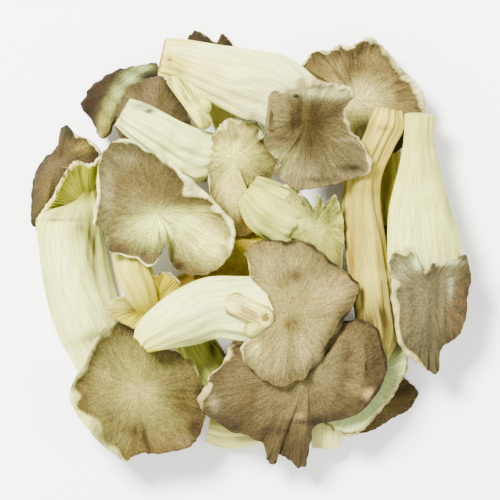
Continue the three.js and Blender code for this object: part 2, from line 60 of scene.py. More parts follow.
FLOOR_SIZE = 8.0
bpy.ops.mesh.primitive_plane_add(size=FLOOR_SIZE, location=(0, 0, -0.0002))
floor = bpy.context.object
floor.name = "table_top"
floor_material = bpy.data.materials.new("table_top")
floor_material.use_nodes = True
floor_shader = floor_material.node_tree.nodes["Principled BSDF"]
floor_shader.inputs["Base Color"].default_value = (0.95, 0.95, 0.95, 1)
floor_shader.inputs["Roughness"].default_value = 0.9
floor.data.materials.append(floor_material)

# name, position in metres, size in metres, power in watts, colour
LAMPS = [
    ("overhead_lamp", (-0.5, 0.6, 1.1), 0.4, 115.0, (1.0, 0.985, 0.96)),
    ("side_lamp", (0.9, -0.3, 0.9), 0.9, 18.0, (1.0, 1.0, 1.0)),
    ("low_lamp", (-0.7, -0.9, 0.8), 0.9, 14.0, (1.0, 1.0, 1.0)),
]
for lamp_name, spot, lamp_size, power, lamp_colour in LAMPS:
    lamp_data = bpy.data.lights.new(lamp_name, "AREA")
    lamp_data.size = lamp_size
    lamp_data.energy = power
    lamp_data.color = lamp_colour
    lamp = bpy.data.objects.new(lamp_name, lamp_data)
    lamp.location = spot
    lamp.rotation_euler = (-Vector(spot)).to_track_quat("-Z", "Y").to_euler()
    bpy.context.scene.collection.objects.link(lamp)
world = bpy.data.worlds.new("soft_room")
world.use_nodes = True
world.node_tree.nodes["Background"].inputs["Color"].default_value = (1, 1, 1, 1)
world.node_tree.nodes["Background"].inputs["Strength"].default_value = 1.0
bpy.context.scene.world = world


# Low cap back left
# A dark brown cap at the bottom of the heap, with a pale band where its inner edge turned up and dried.
# Like all of them it is one grown piece: a thin cap with a pale margin, gills like blades, and a stem.
# Its surface follows the rows of the solid model, with finer ridges, torn edges and gills added.

# sizes that the solid model shares, in millimetres where they are lengths
EDGE_FLESH = 2.2
STEM_FLESH = 7.0
GILL_DEPTH = 0.9
CAP_COLUMNS = 30
STEM_COLUMNS = 20
STEM_FLATNESS = 0.8
TOP_ROWS = [0.3, 0.58, 0.82, 0.95]
UNDER_ROWS = [0.93, 0.72, 0.5, 0.34]
FLUTE_DEPTH = 0.05

# finer rows of this surface, as shares of the way from the cap's centre to its rim
TOP_SHARES = np.concatenate([[0.02, 0.05, 0.09], np.linspace(0.13, 0.95, 34), [0.965, 0.98, 0.992]])
MARGIN_ROWS = [(1.0, 0.3), (1.004, 0.75), (1.004, 1.3), (0.99, 1.8), (0.965, 2.1)]
GILL_SHARES = np.linspace(0.93, 0.36, 22)
STEM_SHARE = 0.34
STEM_ROW_LENGTH = 1.0
FEWEST_STEM_ROWS = 6
CUT_ROWS = [(0.97, 0.25), (0.88, 0.3), (0.7, 0.1), (0.45, 0.0), (0.2, 0.05), (0.05, 0.05)]
THREAD_HEIGHT = 0.04
NARROWEST_BAND = 0.05

# how far the sag of the solid model counts for the flesh round it, and how high the flesh lies off the table
SAG_SPREAD = 36.0
SAG_REACH = 1e-5
TABLE_GAP = 0.05

# how bright a surface looks in the picture, and the share of the lamps' light that it then reflects
TONES_SEEN = [0.0, 0.2, 0.35, 0.47, 0.64, 0.75, 0.82, 0.92, 1.0]
TONES_MADE = [0.002, 0.005, 0.014, 0.029, 0.068, 0.13, 0.2, 0.52, 0.9]
DARKEST = 0.002
LIGHTEST = 0.9

# colours that most of the mushrooms share, as they look in the picture, and the scale of the fibres' pattern
GILL_COLOUR = (200, 190, 130)
STEM_COLOUR = (232, 230, 196)
FRINGE_COLOUR = (96, 82, 52)
LIP_COLOUR = (226, 222, 196)
GRAIN_ROUND = 26
GRAIN_ALONG_CAP = 0.22
GRAIN_ALONG_STEM = 0.09


def to_plan(x, y):
    return np.array([(x - PLAN_MIDDLE) * PLAN_STEP, (PLAN_MIDDLE - y) * PLAN_STEP])


def place(point):
    return np.array([*to_plan(point[0], point[1]), point[2]])


def unit(vector):
    return vector / np.maximum(np.linalg.norm(vector, axis=-1, keepdims=True), 1e-9)


def smooth_step(low, high, value):
    t = np.clip((value - low) / (high - low), 0, 1)
    return t * t * (3 - 2 * t)


def hermite(a, b, c, d, t):
    """A point between b and c on the smooth curve through a, b, c and d."""
    t2 = t * t
    t3 = t2 * t
    return ((2 * t3 - 3 * t2 + 1) * b + (t3 - 2 * t2 + t) * 0.5 * (c - a)
            + (3 * t2 - 2 * t3) * c + (t3 - t2) * 0.5 * (d - b))


def rim_curve(points, columns):
    """A closed smooth curve through the rim points."""
    knots = np.array([place(p) for p in points])
    count = len(knots)
    spot = np.arange(columns) / columns * count
    k = np.floor(spot).astype(int)
    around = [knots[(k + step) % count] for step in (-1, 0, 1, 2)]
    return hermite(*around, (spot - k)[:, None])


def polygon_normal(p):
    q = np.roll(p, -1, axis=0)
    return unit(np.array([
        np.sum((p[:, 1] - q[:, 1]) * (p[:, 2] + q[:, 2])),
        np.sum((p[:, 2] - q[:, 2]) * (p[:, 0] + q[:, 0])),
        np.sum((p[:, 0] - q[:, 0]) * (p[:, 1] + q[:, 1])),
    ]))


def flesh_depth(s):
    return EDGE_FLESH + (STEM_FLESH - EDGE_FLESH) * (1 - s) ** 1.4


def humps(spec, points):
    """Folds and lobes of the cap: smooth humps given as across, down, half width, half depth and height."""
    total = np.zeros(points.shape[:-1])
    for left, top, half_wide, half_deep, height in spec.get("humps", []):
        spot = to_plan(left, top)
        u = (points[..., 0] - spot[0]) / (half_wide * PLAN_STEP)
        v = (points[..., 1] - spot[1]) / (half_deep * PLAN_STEP)
        total += height * np.exp(-u * u - v * v)
    return total


def cap_row(spec, bones, rim, s, drop):
    """A ring round the cap at share s of the way to its rim, with a drop below its upper face."""
    arm = rim - bones["pole"]
    rise = arm @ bones["normal"]
    points = bones["pole"] + (arm - rise[:, None] * bones["normal"]) * s
    height = rise * s ** spec["curve"] - spec["roll"] * smooth_step(0.75, 1, s) + humps(spec, points) - drop
    return points + np.outer(height, bones["normal"])


def waves(seed, turns, drifts, count):
    """Sum of seeded sine waves: returns a function of the angle round the mushroom and the way along it."""
    draw = np.random.default_rng(seed)
    around = draw.integers(turns[0], turns[1] + 1, count)
    drift = draw.uniform(-drifts, drifts, count)
    phase = draw.uniform(0, 2 * math.pi, count)

    def value(angle, way):
        total = np.zeros(np.broadcast(angle, way).shape)
        for n, m, p in zip(around, drift, phase):
            total += np.sin(n * angle + m * way + p)
        return total / math.sqrt(count)

    return value


def skeleton(spec):
    """The line, facing and stem directions that the solid and this finer surface share."""
    columns = spec.get("columns", CAP_COLUMNS)
    flat_rim = np.array([[*to_plan(p[0], p[1]), 0.0] for p in spec["rim"]])
    faces_up = polygon_normal(flat_rim)[2] > 0
    turned = faces_up == spec.get("gills_up", False)
    ordered = spec["rim"][::-1] if turned else spec["rim"]
    rim = rim_curve(ordered, columns)
    normal = polygon_normal(rim)
    bones = {"ordered": ordered, "turned": turned, "rim": rim, "normal": normal, "pole": place(spec["pole"])}
    if "stem" not in spec:
        return bones
    centres = np.array([place(p) for p in spec["stem"]])
    before = np.vstack([centres[:1], centres[:-1]])
    after = np.vstack([centres[1:], centres[-1:]])
    aims = unit(after - before)
    turn = Vector(-normal).rotation_difference(Vector(aims[0]))
    side = unit(np.cross([0, 0, 1], aims[0]))
    upward = np.cross(aims[0], side)
    arm = rim - bones["pole"]
    arm = unit(arm - (arm @ normal)[:, None] * normal)
    arm = arm @ np.array(turn.to_matrix()).T
    angles = np.arctan2(arm @ upward, arm @ side)
    steps = np.roll(angles, -1) - angles
    sense = np.sign(np.sum(np.arctan2(np.sin(steps), np.cos(steps))))
    even = sense * 2 * math.pi * np.arange(columns) / columns
    shift = math.atan2(np.sum(np.sin(angles - even)), np.sum(np.cos(angles - even)))
    bones.update({"centres": centres, "aims": aims, "sense": sense, "shift": shift})
    return bones


def stem_ring(spec, bones, i, angle, flute):
    """A slightly flattened, fluted ring round the stem."""
    aim = bones["aims"][i]
    side = unit(np.cross([0, 0, 1], aim))
    upward = np.cross(aim, side)
    ridge = spec["stem"][i][3] * PLAN_STEP * (1 + flute + 0.06 * np.sin(3 * angle + i))
    out = np.outer(ridge * np.cos(angle), side)
    return bones["centres"][i] + out + np.outer(ridge * STEM_FLATNESS * np.sin(angle), upward)


def loose_points(spec):
    """Points of the solid model's mushroom before it sags over the heap."""
    bones = skeleton(spec)
    rim = bones["rim"]
    rows = [cap_row(spec, bones, rim, s, 0) for s in TOP_ROWS]
    rows.append(cap_row(spec, bones, rim, 1, EDGE_FLESH * 0.35))
    for s in UNDER_ROWS:
        blade = GILL_DEPTH * math.sin(math.pi * min(1, s * 0.95 + 0.08))
        gill = np.where(np.arange(len(rim)) % 2 == 0, blade, 0)
        rows.append(cap_row(spec, bones, rim, s, flesh_depth(s) + gill))
    k = np.arange(STEM_COLUMNS)
    angle = -2 * math.pi * k / STEM_COLUMNS
    flute = np.where(k % 2 == 0, FLUTE_DEPTH, 0)
    rows += [stem_ring(spec, bones, i, angle, flute) for i in range(len(spec.get("stem", [])))]
    return np.vstack(rows)


def sag_over_heap(name, loose, points):
    """Moves the fine surface up or down as the solid model's mushroom sags over the heap."""
    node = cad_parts[name].data
    solid = np.zeros(len(node.vertices) * 3, np.float32)
    node.vertices.foreach_get("co", solid)
    solid = solid.reshape(-1, 3).astype(float) * 1000
    loose = loose + HEAP_SHIFT
    gap = np.linalg.norm(loose[:, None, :2] - solid[None, :, :2], axis=2)
    nearest = gap.argmin(axis=1)
    kept = (gap.min(axis=1) < 0.01) & (solid[nearest, 2] > 0.01)
    spots = loose[kept, :2]
    rise = solid[nearest[kept], 2] - loose[kept, 2]
    flat = points.reshape(-1, 3) + HEAP_SHIFT
    lifted = np.empty(len(flat))
    batch = 4000
    for start in range(0, len(flat), batch):
        part = flat[start:start + batch, None, :2] - spots[None, :, :]
        square = np.sum(part * part, axis=2)
        weight = np.exp(-square / SAG_SPREAD) + SAG_REACH / (1 + square)
        lifted[start:start + batch] = (weight @ rise) / weight.sum(axis=1)
    flat[:, 2] = np.maximum(flat[:, 2] + lifted, TABLE_GAP)
    return flat.reshape(points.shape)


def grid_normals(points):
    down = np.gradient(points, axis=0)
    round_way = np.roll(points, -1, axis=1) - np.roll(points, 1, axis=1)
    return unit(np.cross(down, round_way))


def way_along(points):
    """Distance along the rings, from the first one, on every point."""
    steps = np.linalg.norm(np.diff(points, axis=0, prepend=points[:1]), axis=2).mean(axis=1)
    return np.cumsum(steps)[:, None] * np.ones((1, points.shape[1]))


def shade(red, green, blue):
    """A colour as it looks under the bright lamps, 0 to 255 a channel, turned into reflected light."""
    seen = np.array([red, green, blue]) / 255
    made = np.exp(np.interp(seen, TONES_SEEN, np.log(TONES_MADE)))
    return np.maximum(made + 0.15 * (made - made.mean()), 0.001)


def band_mask(from_edge, width):
    across = from_edge / np.maximum(width, NARROWEST_BAND)
    return np.where(width > NARROWEST_BAND, smooth_step(1.15, 0.75, across), 0)


def band_widths(spec, bones, bands, seed, angle):
    """Width in millimetres, all round the cap, of bands given as first and last rim point and width."""
    columns = len(angle)
    count = len(spec["rim"])
    spot = np.arange(columns) / columns * count
    if bones["turned"]:
        spot = (count - 1 - spot) % count
    wide = np.zeros(columns)
    for first, last, width in bands:
        middle, half = (first + last) / 2, (last - first) / 2
        away = np.abs((spot - middle + count / 2) % count - count / 2)
        wide = np.maximum(wide, width * smooth_step(half + 0.7, half - 0.5, away))
    return wide * np.clip(1 + 0.45 * waves(seed, (3, 22), 0, 16)(angle, 0), 0.1, 1.9)


def over(colour, weight, top):
    return colour * (1 - weight) + top * weight


def paint(look, skin):
    """Colour of each point: cap from centre to margin, gills with painted shade between the blades, stem, cut
    end, stains and patches of painted light and shade, dark fringe and lip.
    """
    zone, share, turn = skin["zone"], skin["share"], skin["turn"]
    blotch = waves(look["seed"] + 11, (1, 6), 0.2, 14)(turn, skin["way"])
    fine = waves(look["seed"] + 12, (6, 30), 0.4, 24)(turn, skin["way"])
    centre, middle, margin = (shade(*c) for c in look["cap"])
    s = np.clip(share + 0.07 * blotch + 0.03 * fine, 0, 1)
    cap = over(centre, smooth_step(0.1, 0.55, s)[..., None], middle)
    cap = over(cap, smooth_step(0.6, 1.0, s)[..., None], margin)
    cap = cap * (1 + 0.1 * blotch + 0.06 * fine)[..., None]
    gill = shade(*look.get("gill", GILL_COLOUR))
    gill = gill * (1 - 0.25 * smooth_step(0.7, 0.4, share)[..., None])
    # painted shade: the gills are darker between the blades, in the crevices where shade falls
    painted_shade_between_blades = look.get("gill_shade", 0.55) * (1 - skin["gill_crest"])[..., None]
    gill = gill * (1 - painted_shade_between_blades * np.array([0.8, 0.9, 1.0]))
    stem = look.get("stem", STEM_COLOUR)
    down = smooth_step(2.0, skin["stem_zones"], zone)[..., None]
    stem_colour = over(shade(*stem), down, shade(*look.get("stem_end", stem)))
    stem_colour = stem_colour * (1 + 0.05 * blotch + 0.05 * fine)[..., None]
    under = over(gill, smooth_step(1.0, 2.0, zone)[..., None], stem_colour)
    colour = np.where((zone <= 0.75)[..., None], cap, under)
    cut_end = (zone > skin["stem_zones"] + 0.5)[..., None]
    colour = np.where(cut_end, shade(*look.get("cut", STEM_COLOUR)), colour)
    plan_x = skin["points"][..., 0] / PLAN_STEP + PLAN_MIDDLE
    plan_y = PLAN_MIDDLE - skin["points"][..., 1] / PLAN_STEP
    # marks in the plan: real stains, and patches of painted shade and painted light, such as the lit and
    # shaded sides of stems and shadowed gaps
    for x, y, size_x, size_y, strength, stain_or_light_colour in look.get("stains_and_painted_light", []):
        weight = strength * np.exp(-((plan_x - x) / size_x) ** 2 - ((plan_y - y) / size_y) ** 2)
        weight = np.clip(weight * (1 + 0.3 * blotch + 0.25 * fine), 0, 1)[..., None]
        colour = over(colour, weight, shade(*stain_or_light_colour))
    streaky = np.clip(0.8 + 0.4 * fine, 0, 1)
    fringe = np.where(zone <= 0.75, band_mask(skin["from_edge"], skin["fringe"]), 0) * streaky
    colour = over(colour, fringe[..., None], shade(*FRINGE_COLOUR))
    patchy = np.clip(0.85 + 0.35 * fine + 0.25 * blotch, 0, 1)
    lip = np.where(zone <= 0.75, band_mask(skin["from_edge"], skin["lip"]), 0) * patchy
    colour = over(colour, lip[..., None], shade(*look.get("lip_colour", LIP_COLOUR)))
    return np.clip(colour, DARKEST, LIGHTEST)


def build_mesh(name, points, colour, grain, velvet, ends):
    """A surface of rings, closed by one point at each end, with its colour and grain on the points."""
    row_count, columns = points.shape[:2]
    vertices = np.concatenate([points.reshape(-1, 3), ends]) * 0.001
    a = np.arange(columns)
    b = (a + 1) % columns
    quads = [np.stack([r * columns + a, (r + 1) * columns + a, (r + 1) * columns + b, r * columns + b], 1)
             for r in range(row_count - 1)]
    first, last = row_count * columns, row_count * columns + 1
    last_row = (row_count - 1) * columns
    triangles = [(first, int(i), int(j)) for i, j in zip(a, b)]
    triangles += [(last_row + int(j), last_row + int(i), last) for i, j in zip(a, b)]
    mesh = bpy.data.meshes.new(name)
    mesh.from_pydata(vertices.tolist(), [], np.concatenate(quads).tolist() + triangles)
    mesh.polygons.foreach_set("use_smooth", np.ones(len(mesh.polygons), bool))
    flat = np.concatenate([colour.reshape(-1, 3), colour[0, :1], colour[-1, :1]])
    tint = mesh.color_attributes.new("tint", "FLOAT_COLOR", "POINT")
    tint.data.foreach_set("color", np.column_stack([flat, np.ones(len(flat))]).ravel())
    flat = np.concatenate([grain.reshape(-1, 3), grain[0, :1], grain[-1, :1]])
    mesh.attributes.new("grain", "FLOAT_VECTOR", "POINT").data.foreach_set("vector", flat.ravel())
    flat = np.concatenate([velvet.ravel(), velvet[0, :1], velvet[-1, :1]])
    mesh.attributes.new("velvet", "FLOAT", "POINT").data.foreach_set("value", flat)
    piece = bpy.data.objects.new(name, mesh)
    bpy.context.scene.collection.objects.link(piece)
    return piece


def skin_rows(spec, bones, rim, angle):
    """Rings over the cap, round its margin, over the gills and down the stem.

    The zone is 0 on the cap, 0.5 on the margin, 1 on the gills and grows from ring to ring down the stem.
    The share is the way from the cap's centre to its rim.
    """
    rows = [(cap_row(spec, bones, rim, s, 0), 0.0, s) for s in TOP_SHARES]
    rows += [(cap_row(spec, bones, rim, s, drop), 0.5, min(s, 1.0)) for s, drop in MARGIN_ROWS]

    def under_row(s):
        return cap_row(spec, bones, rim, s, flesh_depth(s) + GILL_DEPTH * 0.4)

    rows += [(under_row(s), 1.0, s) for s in GILL_SHARES]
    if "stem" in spec:
        round_stem = bones["shift"] + bones["sense"] * angle
        rings = [stem_ring(spec, bones, i, round_stem, FLUTE_DEPTH / 2) for i in range(len(spec["stem"]))]
        knots = [under_row(0.5), under_row(STEM_SHARE), *rings, 2 * rings[-1] - rings[-2]]
        for k in range(1, len(knots) - 2):
            length = np.linalg.norm(knots[k + 1].mean(axis=0) - knots[k].mean(axis=0))
            pieces = max(FEWEST_STEM_ROWS, int(length / STEM_ROW_LENGTH))
            for t in np.arange(pieces) / pieces:
                rows.append((hermite(*knots[k - 1:k + 3], t), k + t, STEM_SHARE))
    points, zone, share = zip(*rows)
    every_column = np.ones((1, len(angle)))
    return np.array(points), np.array(zone)[:, None] * every_column, np.array(share)[:, None] * every_column


def raise_margin(look, bones, rim, skin):
    """Tears and frills the margin, and raises its pale lip."""
    seed, zone, share, from_edge = look["seed"], skin["zone"], skin["share"], skin["from_edge"]
    angle, lip = skin["turn"][0], skin["lip"]
    outward = unit(rim - bones["pole"])
    ragged = waves(seed + 1, (6, 44), 0, 26)(angle, 0) * look.get("ragged", 0.2)
    frill = waves(seed + 8, (5, 24), 0, 14)(angle, 0) * look.get("frill", 0.0)
    torn = smooth_step(0.86, 1.0, share) * (zone < 1.2) * ragged
    frilled = smooth_step(0.7, 1.0, share) * (zone < 1.2) * frill
    bulge = np.exp(-((from_edge - lip * 0.35) / np.maximum(lip * 0.55, 0.2)) ** 2) * (lip > NARROWEST_BAND)
    crumbs = 1 + 0.25 * waves(seed + 9, (20, 90), 1.2, 30)(skin["turn"], from_edge)
    raised = bulge * crumbs * look.get("lip_height", 0.4) * np.minimum(lip, 2.5) * (zone <= 0.5)
    return skin["points"] + torn[..., None] * outward + (frilled + raised)[..., None] * bones["normal"]


def fine_relief(look, skin):
    """Waves and pleats of the cap, gill blades and stem ridges, along the surface's own direction."""
    seed, zone, share, turn, way = look["seed"], skin["zone"], skin["share"], skin["turn"], skin["way"]
    on_cap = (zone <= 0.5).astype(float)
    on_gills = smooth_step(0.9, 1.0, zone) * (1 - smooth_step(1.0, 1.9, zone))
    waviness = waves(seed + 3, (2, 7), 0.16, 10)(turn, way) * look.get("waviness", 0.45)
    pleats = waves(seed + 4, (14, 60), 0.05, 24)(turn, way) * look.get("pleats", 0.1)
    sway = 0.5 * waves(seed + 5, (2, 5), 0.1, 6)(turn, way)
    gill = np.abs(np.sin(look.get("gills", 70) * turn / 2 + sway)) ** 0.55 - 0.5
    skin["gill_crest"] = 1 - on_gills * smooth_step(0.45, -0.25, gill)
    ridges = waves(seed + 6, (3, 14), 0.05, 20)(turn, way) * look.get("ridges", 0.3)
    threads = waves(seed + 7, (30, 90), 0.08, 40)(turn, way) * THREAD_HEIGHT
    push = (on_cap * smooth_step(0.05, 0.5, share) * waviness + on_cap * share ** 2 * pleats
            - on_gills * smooth_step(1.0, 0.9, share) * gill * look.get("gill_depth", 1.0)
            + smooth_step(1.2, 2.0, zone) * (ridges + threads))
    return skin["points"] + push[..., None] * grid_normals(skin["points"])


def add_cut_end(skin, aim):
    """The cut end of the stem: a crisp edge, then slightly hollowed pith."""
    last = skin["points"][-1]
    middle = last.mean(axis=0)
    tail = np.array([middle + (last - middle) * fraction + aim * out for fraction, out in CUT_ROWS])
    skin["points"] = np.concatenate([skin["points"], tail])
    ends = {"zone": skin["stem_zones"] + 1, "share": STEM_SHARE, "gill_crest": 1.0,
            "from_edge": skin["from_edge"][-1:], "way": skin["way"][-1:]}
    for key, value in ends.items():
        skin[key] = np.concatenate([skin[key], np.ones(tail.shape[:2]) * value])


def grain_pattern(turn, way, size_round, size_along):
    """Where each point lies in the pattern of fibres, which is long along the flesh and fine across it."""
    every_point = np.ones_like(way)
    across, up = size_round * np.cos(turn), size_round * np.sin(turn)
    return np.stack([across * every_point, up * every_point, size_along * way], axis=-1)


def grow_skin(name, spec, look, loose):
    """The cap, gills and stem as one skin of rings round the mushroom's own line."""
    bones = skeleton(spec)
    seed, columns = look["seed"], look["columns"]
    rim = rim_curve(bones["ordered"], columns)
    angle = 2 * math.pi * np.arange(columns) / columns
    skin = {"turn": angle[None, :]}
    skin["lip"] = band_widths(spec, bones, look.get("lips", []), seed + 2, angle)[None, :]
    skin["fringe"] = band_widths(spec, bones, look.get("fringes", []), seed + 10, angle)[None, :]
    skin["points"], skin["zone"], skin["share"] = skin_rows(spec, bones, rim, angle)
    skin["stem_zones"] = skin["zone"][-1, 0]
    skin["from_edge"] = (1 - skin["share"]) * np.linalg.norm(rim - bones["pole"], axis=1)
    skin["points"] = raise_margin(look, bones, rim, skin)
    skin["way"] = way_along(skin["points"])
    skin["points"] = fine_relief(look, skin)
    if "stem" in spec:
        add_cut_end(skin, bones["aims"][-1])
    colour = paint(look, skin)
    on_top = skin["zone"] <= 0.5
    along = np.where(on_top, GRAIN_ALONG_CAP, GRAIN_ALONG_STEM)
    grain = grain_pattern(skin["turn"], skin["way"], GRAIN_ROUND, along)
    grain = grain + np.random.default_rng(seed).uniform(0, 100, 3)
    velvet = np.where(on_top, 1 - band_mask(skin["from_edge"], skin["lip"]), 0.0)
    crown = sag_over_heap(name, loose, cap_row(spec, bones, rim[:1], 0, 0)[None])[0, 0]
    points = sag_over_heap(name, loose, skin["points"])
    return build_mesh(name + "_flesh", points, colour, grain, velvet, [crown, points[-1].mean(axis=0)])


def grow(name, spec, look):
    """Makes one mushroom's fine surface and returns its object."""
    return grow_skin(name, spec, look, loose_points(spec))


def flesh_material(name):
    """Flesh with the painted tint, broken up by fine fibres and by velvety mottling on the cap."""
    fibre = 0.45
    mottle = 0.5
    material = bpy.data.materials.new(name)
    material.use_nodes = True
    nodes, links = material.node_tree.nodes, material.node_tree.links
    shader = nodes["Principled BSDF"]

    def add(kind, **values):
        node = nodes.new(kind)
        for socket, value in values.items():
            node.inputs[socket.replace("_", " ")].default_value = value
        return node

    def attribute(attribute_name):
        node = nodes.new("ShaderNodeAttribute")
        node.attribute_name = attribute_name
        return node

    shader.inputs["Roughness"].default_value = 0.85
    shader.inputs["Specular IOR Level"].default_value = 0.08
    shader.inputs["Subsurface Weight"].default_value = 0.12
    shader.inputs["Subsurface Radius"].default_value = (1.0, 0.75, 0.35)
    shader.inputs["Subsurface Scale"].default_value = 0.0015
    tint, grain, velvet = attribute("tint"), attribute("grain"), attribute("velvet")
    strands = add("ShaderNodeTexNoise", Scale=1.0, Detail=4.0, Roughness=0.65)
    links.new(grain.outputs["Vector"], strands.inputs["Vector"])
    position = nodes.new("ShaderNodeTexCoord")
    speckle = add("ShaderNodeTexNoise", Scale=1300.0, Detail=3.0, Roughness=0.7)
    links.new(position.outputs["Object"], speckle.inputs["Vector"])
    spread = {"From_Min": 0.3, "From_Max": 0.7}
    strand_range = add("ShaderNodeMapRange", **spread, To_Min=1 - fibre, To_Max=1 + fibre * 0.6)
    links.new(strands.outputs["Fac"], strand_range.inputs["Value"])
    speckle_range = add("ShaderNodeMapRange", **spread, To_Min=1 - mottle, To_Max=1 + mottle)
    links.new(speckle.outputs["Fac"], speckle_range.inputs["Value"])
    mottled = add("ShaderNodeMix", A=1.0)
    links.new(velvet.outputs["Fac"], mottled.inputs["Factor"])
    links.new(speckle_range.outputs["Result"], mottled.inputs["B"])
    both = nodes.new("ShaderNodeMath")
    both.operation = "MULTIPLY"
    links.new(strand_range.outputs["Result"], both.inputs[0])
    links.new(mottled.outputs["Result"], both.inputs[1])
    scaled = nodes.new("ShaderNodeVectorMath")
    scaled.operation = "SCALE"
    links.new(tint.outputs["Color"], scaled.inputs[0])
    links.new(both.outputs["Value"], scaled.inputs["Scale"])
    links.new(scaled.outputs["Vector"], shader.inputs["Base Color"])
    height = nodes.new("ShaderNodeMath")
    links.new(strands.outputs["Fac"], height.inputs[0])
    links.new(speckle.outputs["Fac"], height.inputs[1])
    bump = add("ShaderNodeBump", Strength=0.55, Distance=0.0006)
    links.new(height.outputs["Value"], bump.inputs["Height"])
    links.new(bump.outputs["Normal"], shader.inputs["Normal"])
    return material


low_cap_back_left = {
    "pole": (108, 92, 3), "curve": 1.5, "roll": 1,
    "rim": [(77, 102, -4), (80, 93, -5), (90, 80, -5), (112, 68, -4), (121, 64, -4), (143, 59, -2),
            (154, 62, 1), (150, 78, 5), (134, 88, 7), (120, 102, 8), (112, 120, 8), (100, 134, 6),
            (90, 120, 0)],
    "stem": [(118, 104, -5, 16), (140, 126, -7, 15), (158, 150, -8, 14)],
}
piece = grow("low_cap_back_left", low_cap_back_left, {
    "seed": 100, "columns": 96, "ragged": 0.28, "frill": 0.5,
    "cap": [(98, 78, 30), (94, 74, 26), (86, 68, 24)],
    "stains_and_painted_light": [(142, 66, 9, 5, 0.95, (210, 214, 176)), (129, 77, 8, 7, 0.95, (210, 214, 176)),
               (117, 91, 7, 8, 0.95, (206, 210, 166)), (109, 106, 6, 9, 0.95, (204, 206, 156)),
               (103, 121, 6, 9, 0.95, (206, 202, 144)), (98, 137, 8, 9, 0.9, (206, 200, 140)),
               (90, 130, 4, 5, 0.8, (150, 176, 140)), (78, 105, 3, 14, 0.5, (150, 140, 104)),
               (148, 72, 8, 5, 0.7, (50, 38, 24))],
})
piece.data.materials.append(flesh_material("low_cap_back_left_flesh"))
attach(piece, "root")
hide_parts("low_cap_back_left")


# Low cap back
# The notched tip of a small brown cap that shows behind the stem at the back.
# The rest of it lies hidden under the heap.
low_cap_back = {
    "pole": (206, 62, 4), "curve": 1.8, "roll": 1,
    "rim": [(180, 52, 0), (185, 40, 1), (194, 28, 0), (206, 35, 1), (217, 39, 0), (222, 31, 0),
            (229, 37, 1), (238, 60, 0), (232, 84, -2), (210, 94, -3), (188, 84, -2)],
    "stem": [(208, 72, -4, 13), (218, 100, -6, 12), (226, 128, -7, 11)],
}
piece = grow("low_cap_back", low_cap_back, {
    "seed": 120, "columns": 80, "ragged": 0.28, "frill": 0.6,
    "cap": [(110, 94, 60), (104, 88, 54), (96, 82, 50)],
    "lips": [(2, 6, 0.5)], "lip_height": 0.3, "lip_colour": (176, 170, 116),
    "stains_and_painted_light": [(200, 40, 8, 6, 0.5, (60, 44, 16)), (215, 46, 8, 5, 0.5, (150, 142, 88))],
})
piece.data.materials.append(flesh_material("low_cap_back_flesh"))
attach(piece, "root")
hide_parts("low_cap_back")


# Low cap front right
# A brown cap at the bottom of the heap, of which the outer margin shows at the front right.
# Its flesh is thin there and bends down onto the table.
low_cap_front_right = {
    "pole": (376, 400, 4), "curve": 1.8, "roll": 1,
    "rim": [(398, 376, -2), (411, 383, -3), (420, 395, -4), (416, 408, -4), (397, 421, -4), (376, 433, -4),
            (350, 437, -3), (334, 420, 0), (338, 392, 0), (368, 372, 0)],
    "stem": [(366, 396, -4, 14), (340, 380, -6, 13), (312, 366, -7, 12)],
}
piece = grow("low_cap_front_right", low_cap_front_right, {
    "seed": 140, "columns": 96, "ragged": 0.28, "frill": 0.5,
    "cap": [(150, 130, 76), (146, 124, 72), (136, 116, 66)],
    "lips": [(1, 5, 0.5)], "lip_height": 0.1, "lip_colour": (150, 150, 112),
    "stains_and_painted_light": [(404, 392, 9, 10, 0.5, (84, 73, 28)), (388, 414, 14, 7, 0.4, (150, 141, 86))],
})
piece.data.materials.append(flesh_material("low_cap_front_right_flesh"))
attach(piece, "root")
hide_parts("low_cap_front_right")


# Low cap middle
# The cap and bent stem that fill the middle of the heap, seen only through the gaps.
# Little light reaches them, so their colours below are painted paler than they look, as painted light that
# makes up for it; in the shade they show a deep ochre.
low_cap_middle = {
    "pole": (256, 262, 4), "curve": 1.8, "roll": 1,
    "rim": [(188, 254, 1), (206, 236, 1), (238, 222, 0), (270, 216, 0), (304, 226, 0), (320, 250, -1),
            (314, 284, -2), (290, 304, -2), (256, 312, -2), (222, 302, -1), (196, 282, 0)],
    "stem": [(240, 266, -4, 17), (214, 276, -6, 17), (184, 290, -6, 15), (160, 298, -6, 13)],
}
piece = grow("low_cap_middle", low_cap_middle, {
    "seed": 160, "columns": 96,
    "cap": [(230, 226, 160), (222, 214, 134), (204, 192, 100)],
    "stem": (236, 230, 176), "stem_end": (222, 210, 140),
    "stains_and_painted_light": [(244, 272, 18, 10, 0.4, (176, 152, 70)), (210, 276, 12, 10, 0.4, (220, 196, 96))],
})
piece.data.materials.append(flesh_material("low_cap_middle_flesh"))
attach(piece, "root")
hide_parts("low_cap_middle")


# Low stem front
# A thick stem that lies under the centre, with ochre flesh where it was cut.
# It holds up the front of the heap.
low_stem_front = {
    "pole": (262, 380, 3), "curve": 1.8, "roll": 1,
    "rim": [(236, 380, 0), (246, 352, 0), (272, 340, 0), (298, 350, 0), (306, 380, -1), (298, 402, -1),
            (268, 412, -1), (242, 402, 0)],
    "stem": [(246, 388, -5, 18), (224, 386, -5, 20), (206, 368, -5, 22), (194, 348, -5, 20),
             (186, 332, -5, 15)],
}
piece = grow("low_stem_front", low_stem_front, {
    "seed": 180, "columns": 104, "ridges": 0.45,
    "cap": [(196, 187, 110), (170, 157, 80), (140, 124, 50)],
    "stem": (238, 240, 204), "stem_end": (236, 238, 200),
    "stains_and_painted_light": [(213, 351, 7, 15, 0.9, (156, 124, 44)), (223, 354, 4, 12, 0.9, (90, 72, 24)),
               (188, 372, 14, 12, 0.5, (238, 240, 210))],
})
piece.data.materials.append(flesh_material("low_stem_front_flesh"))
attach(piece, "root")
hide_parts("low_stem_front")


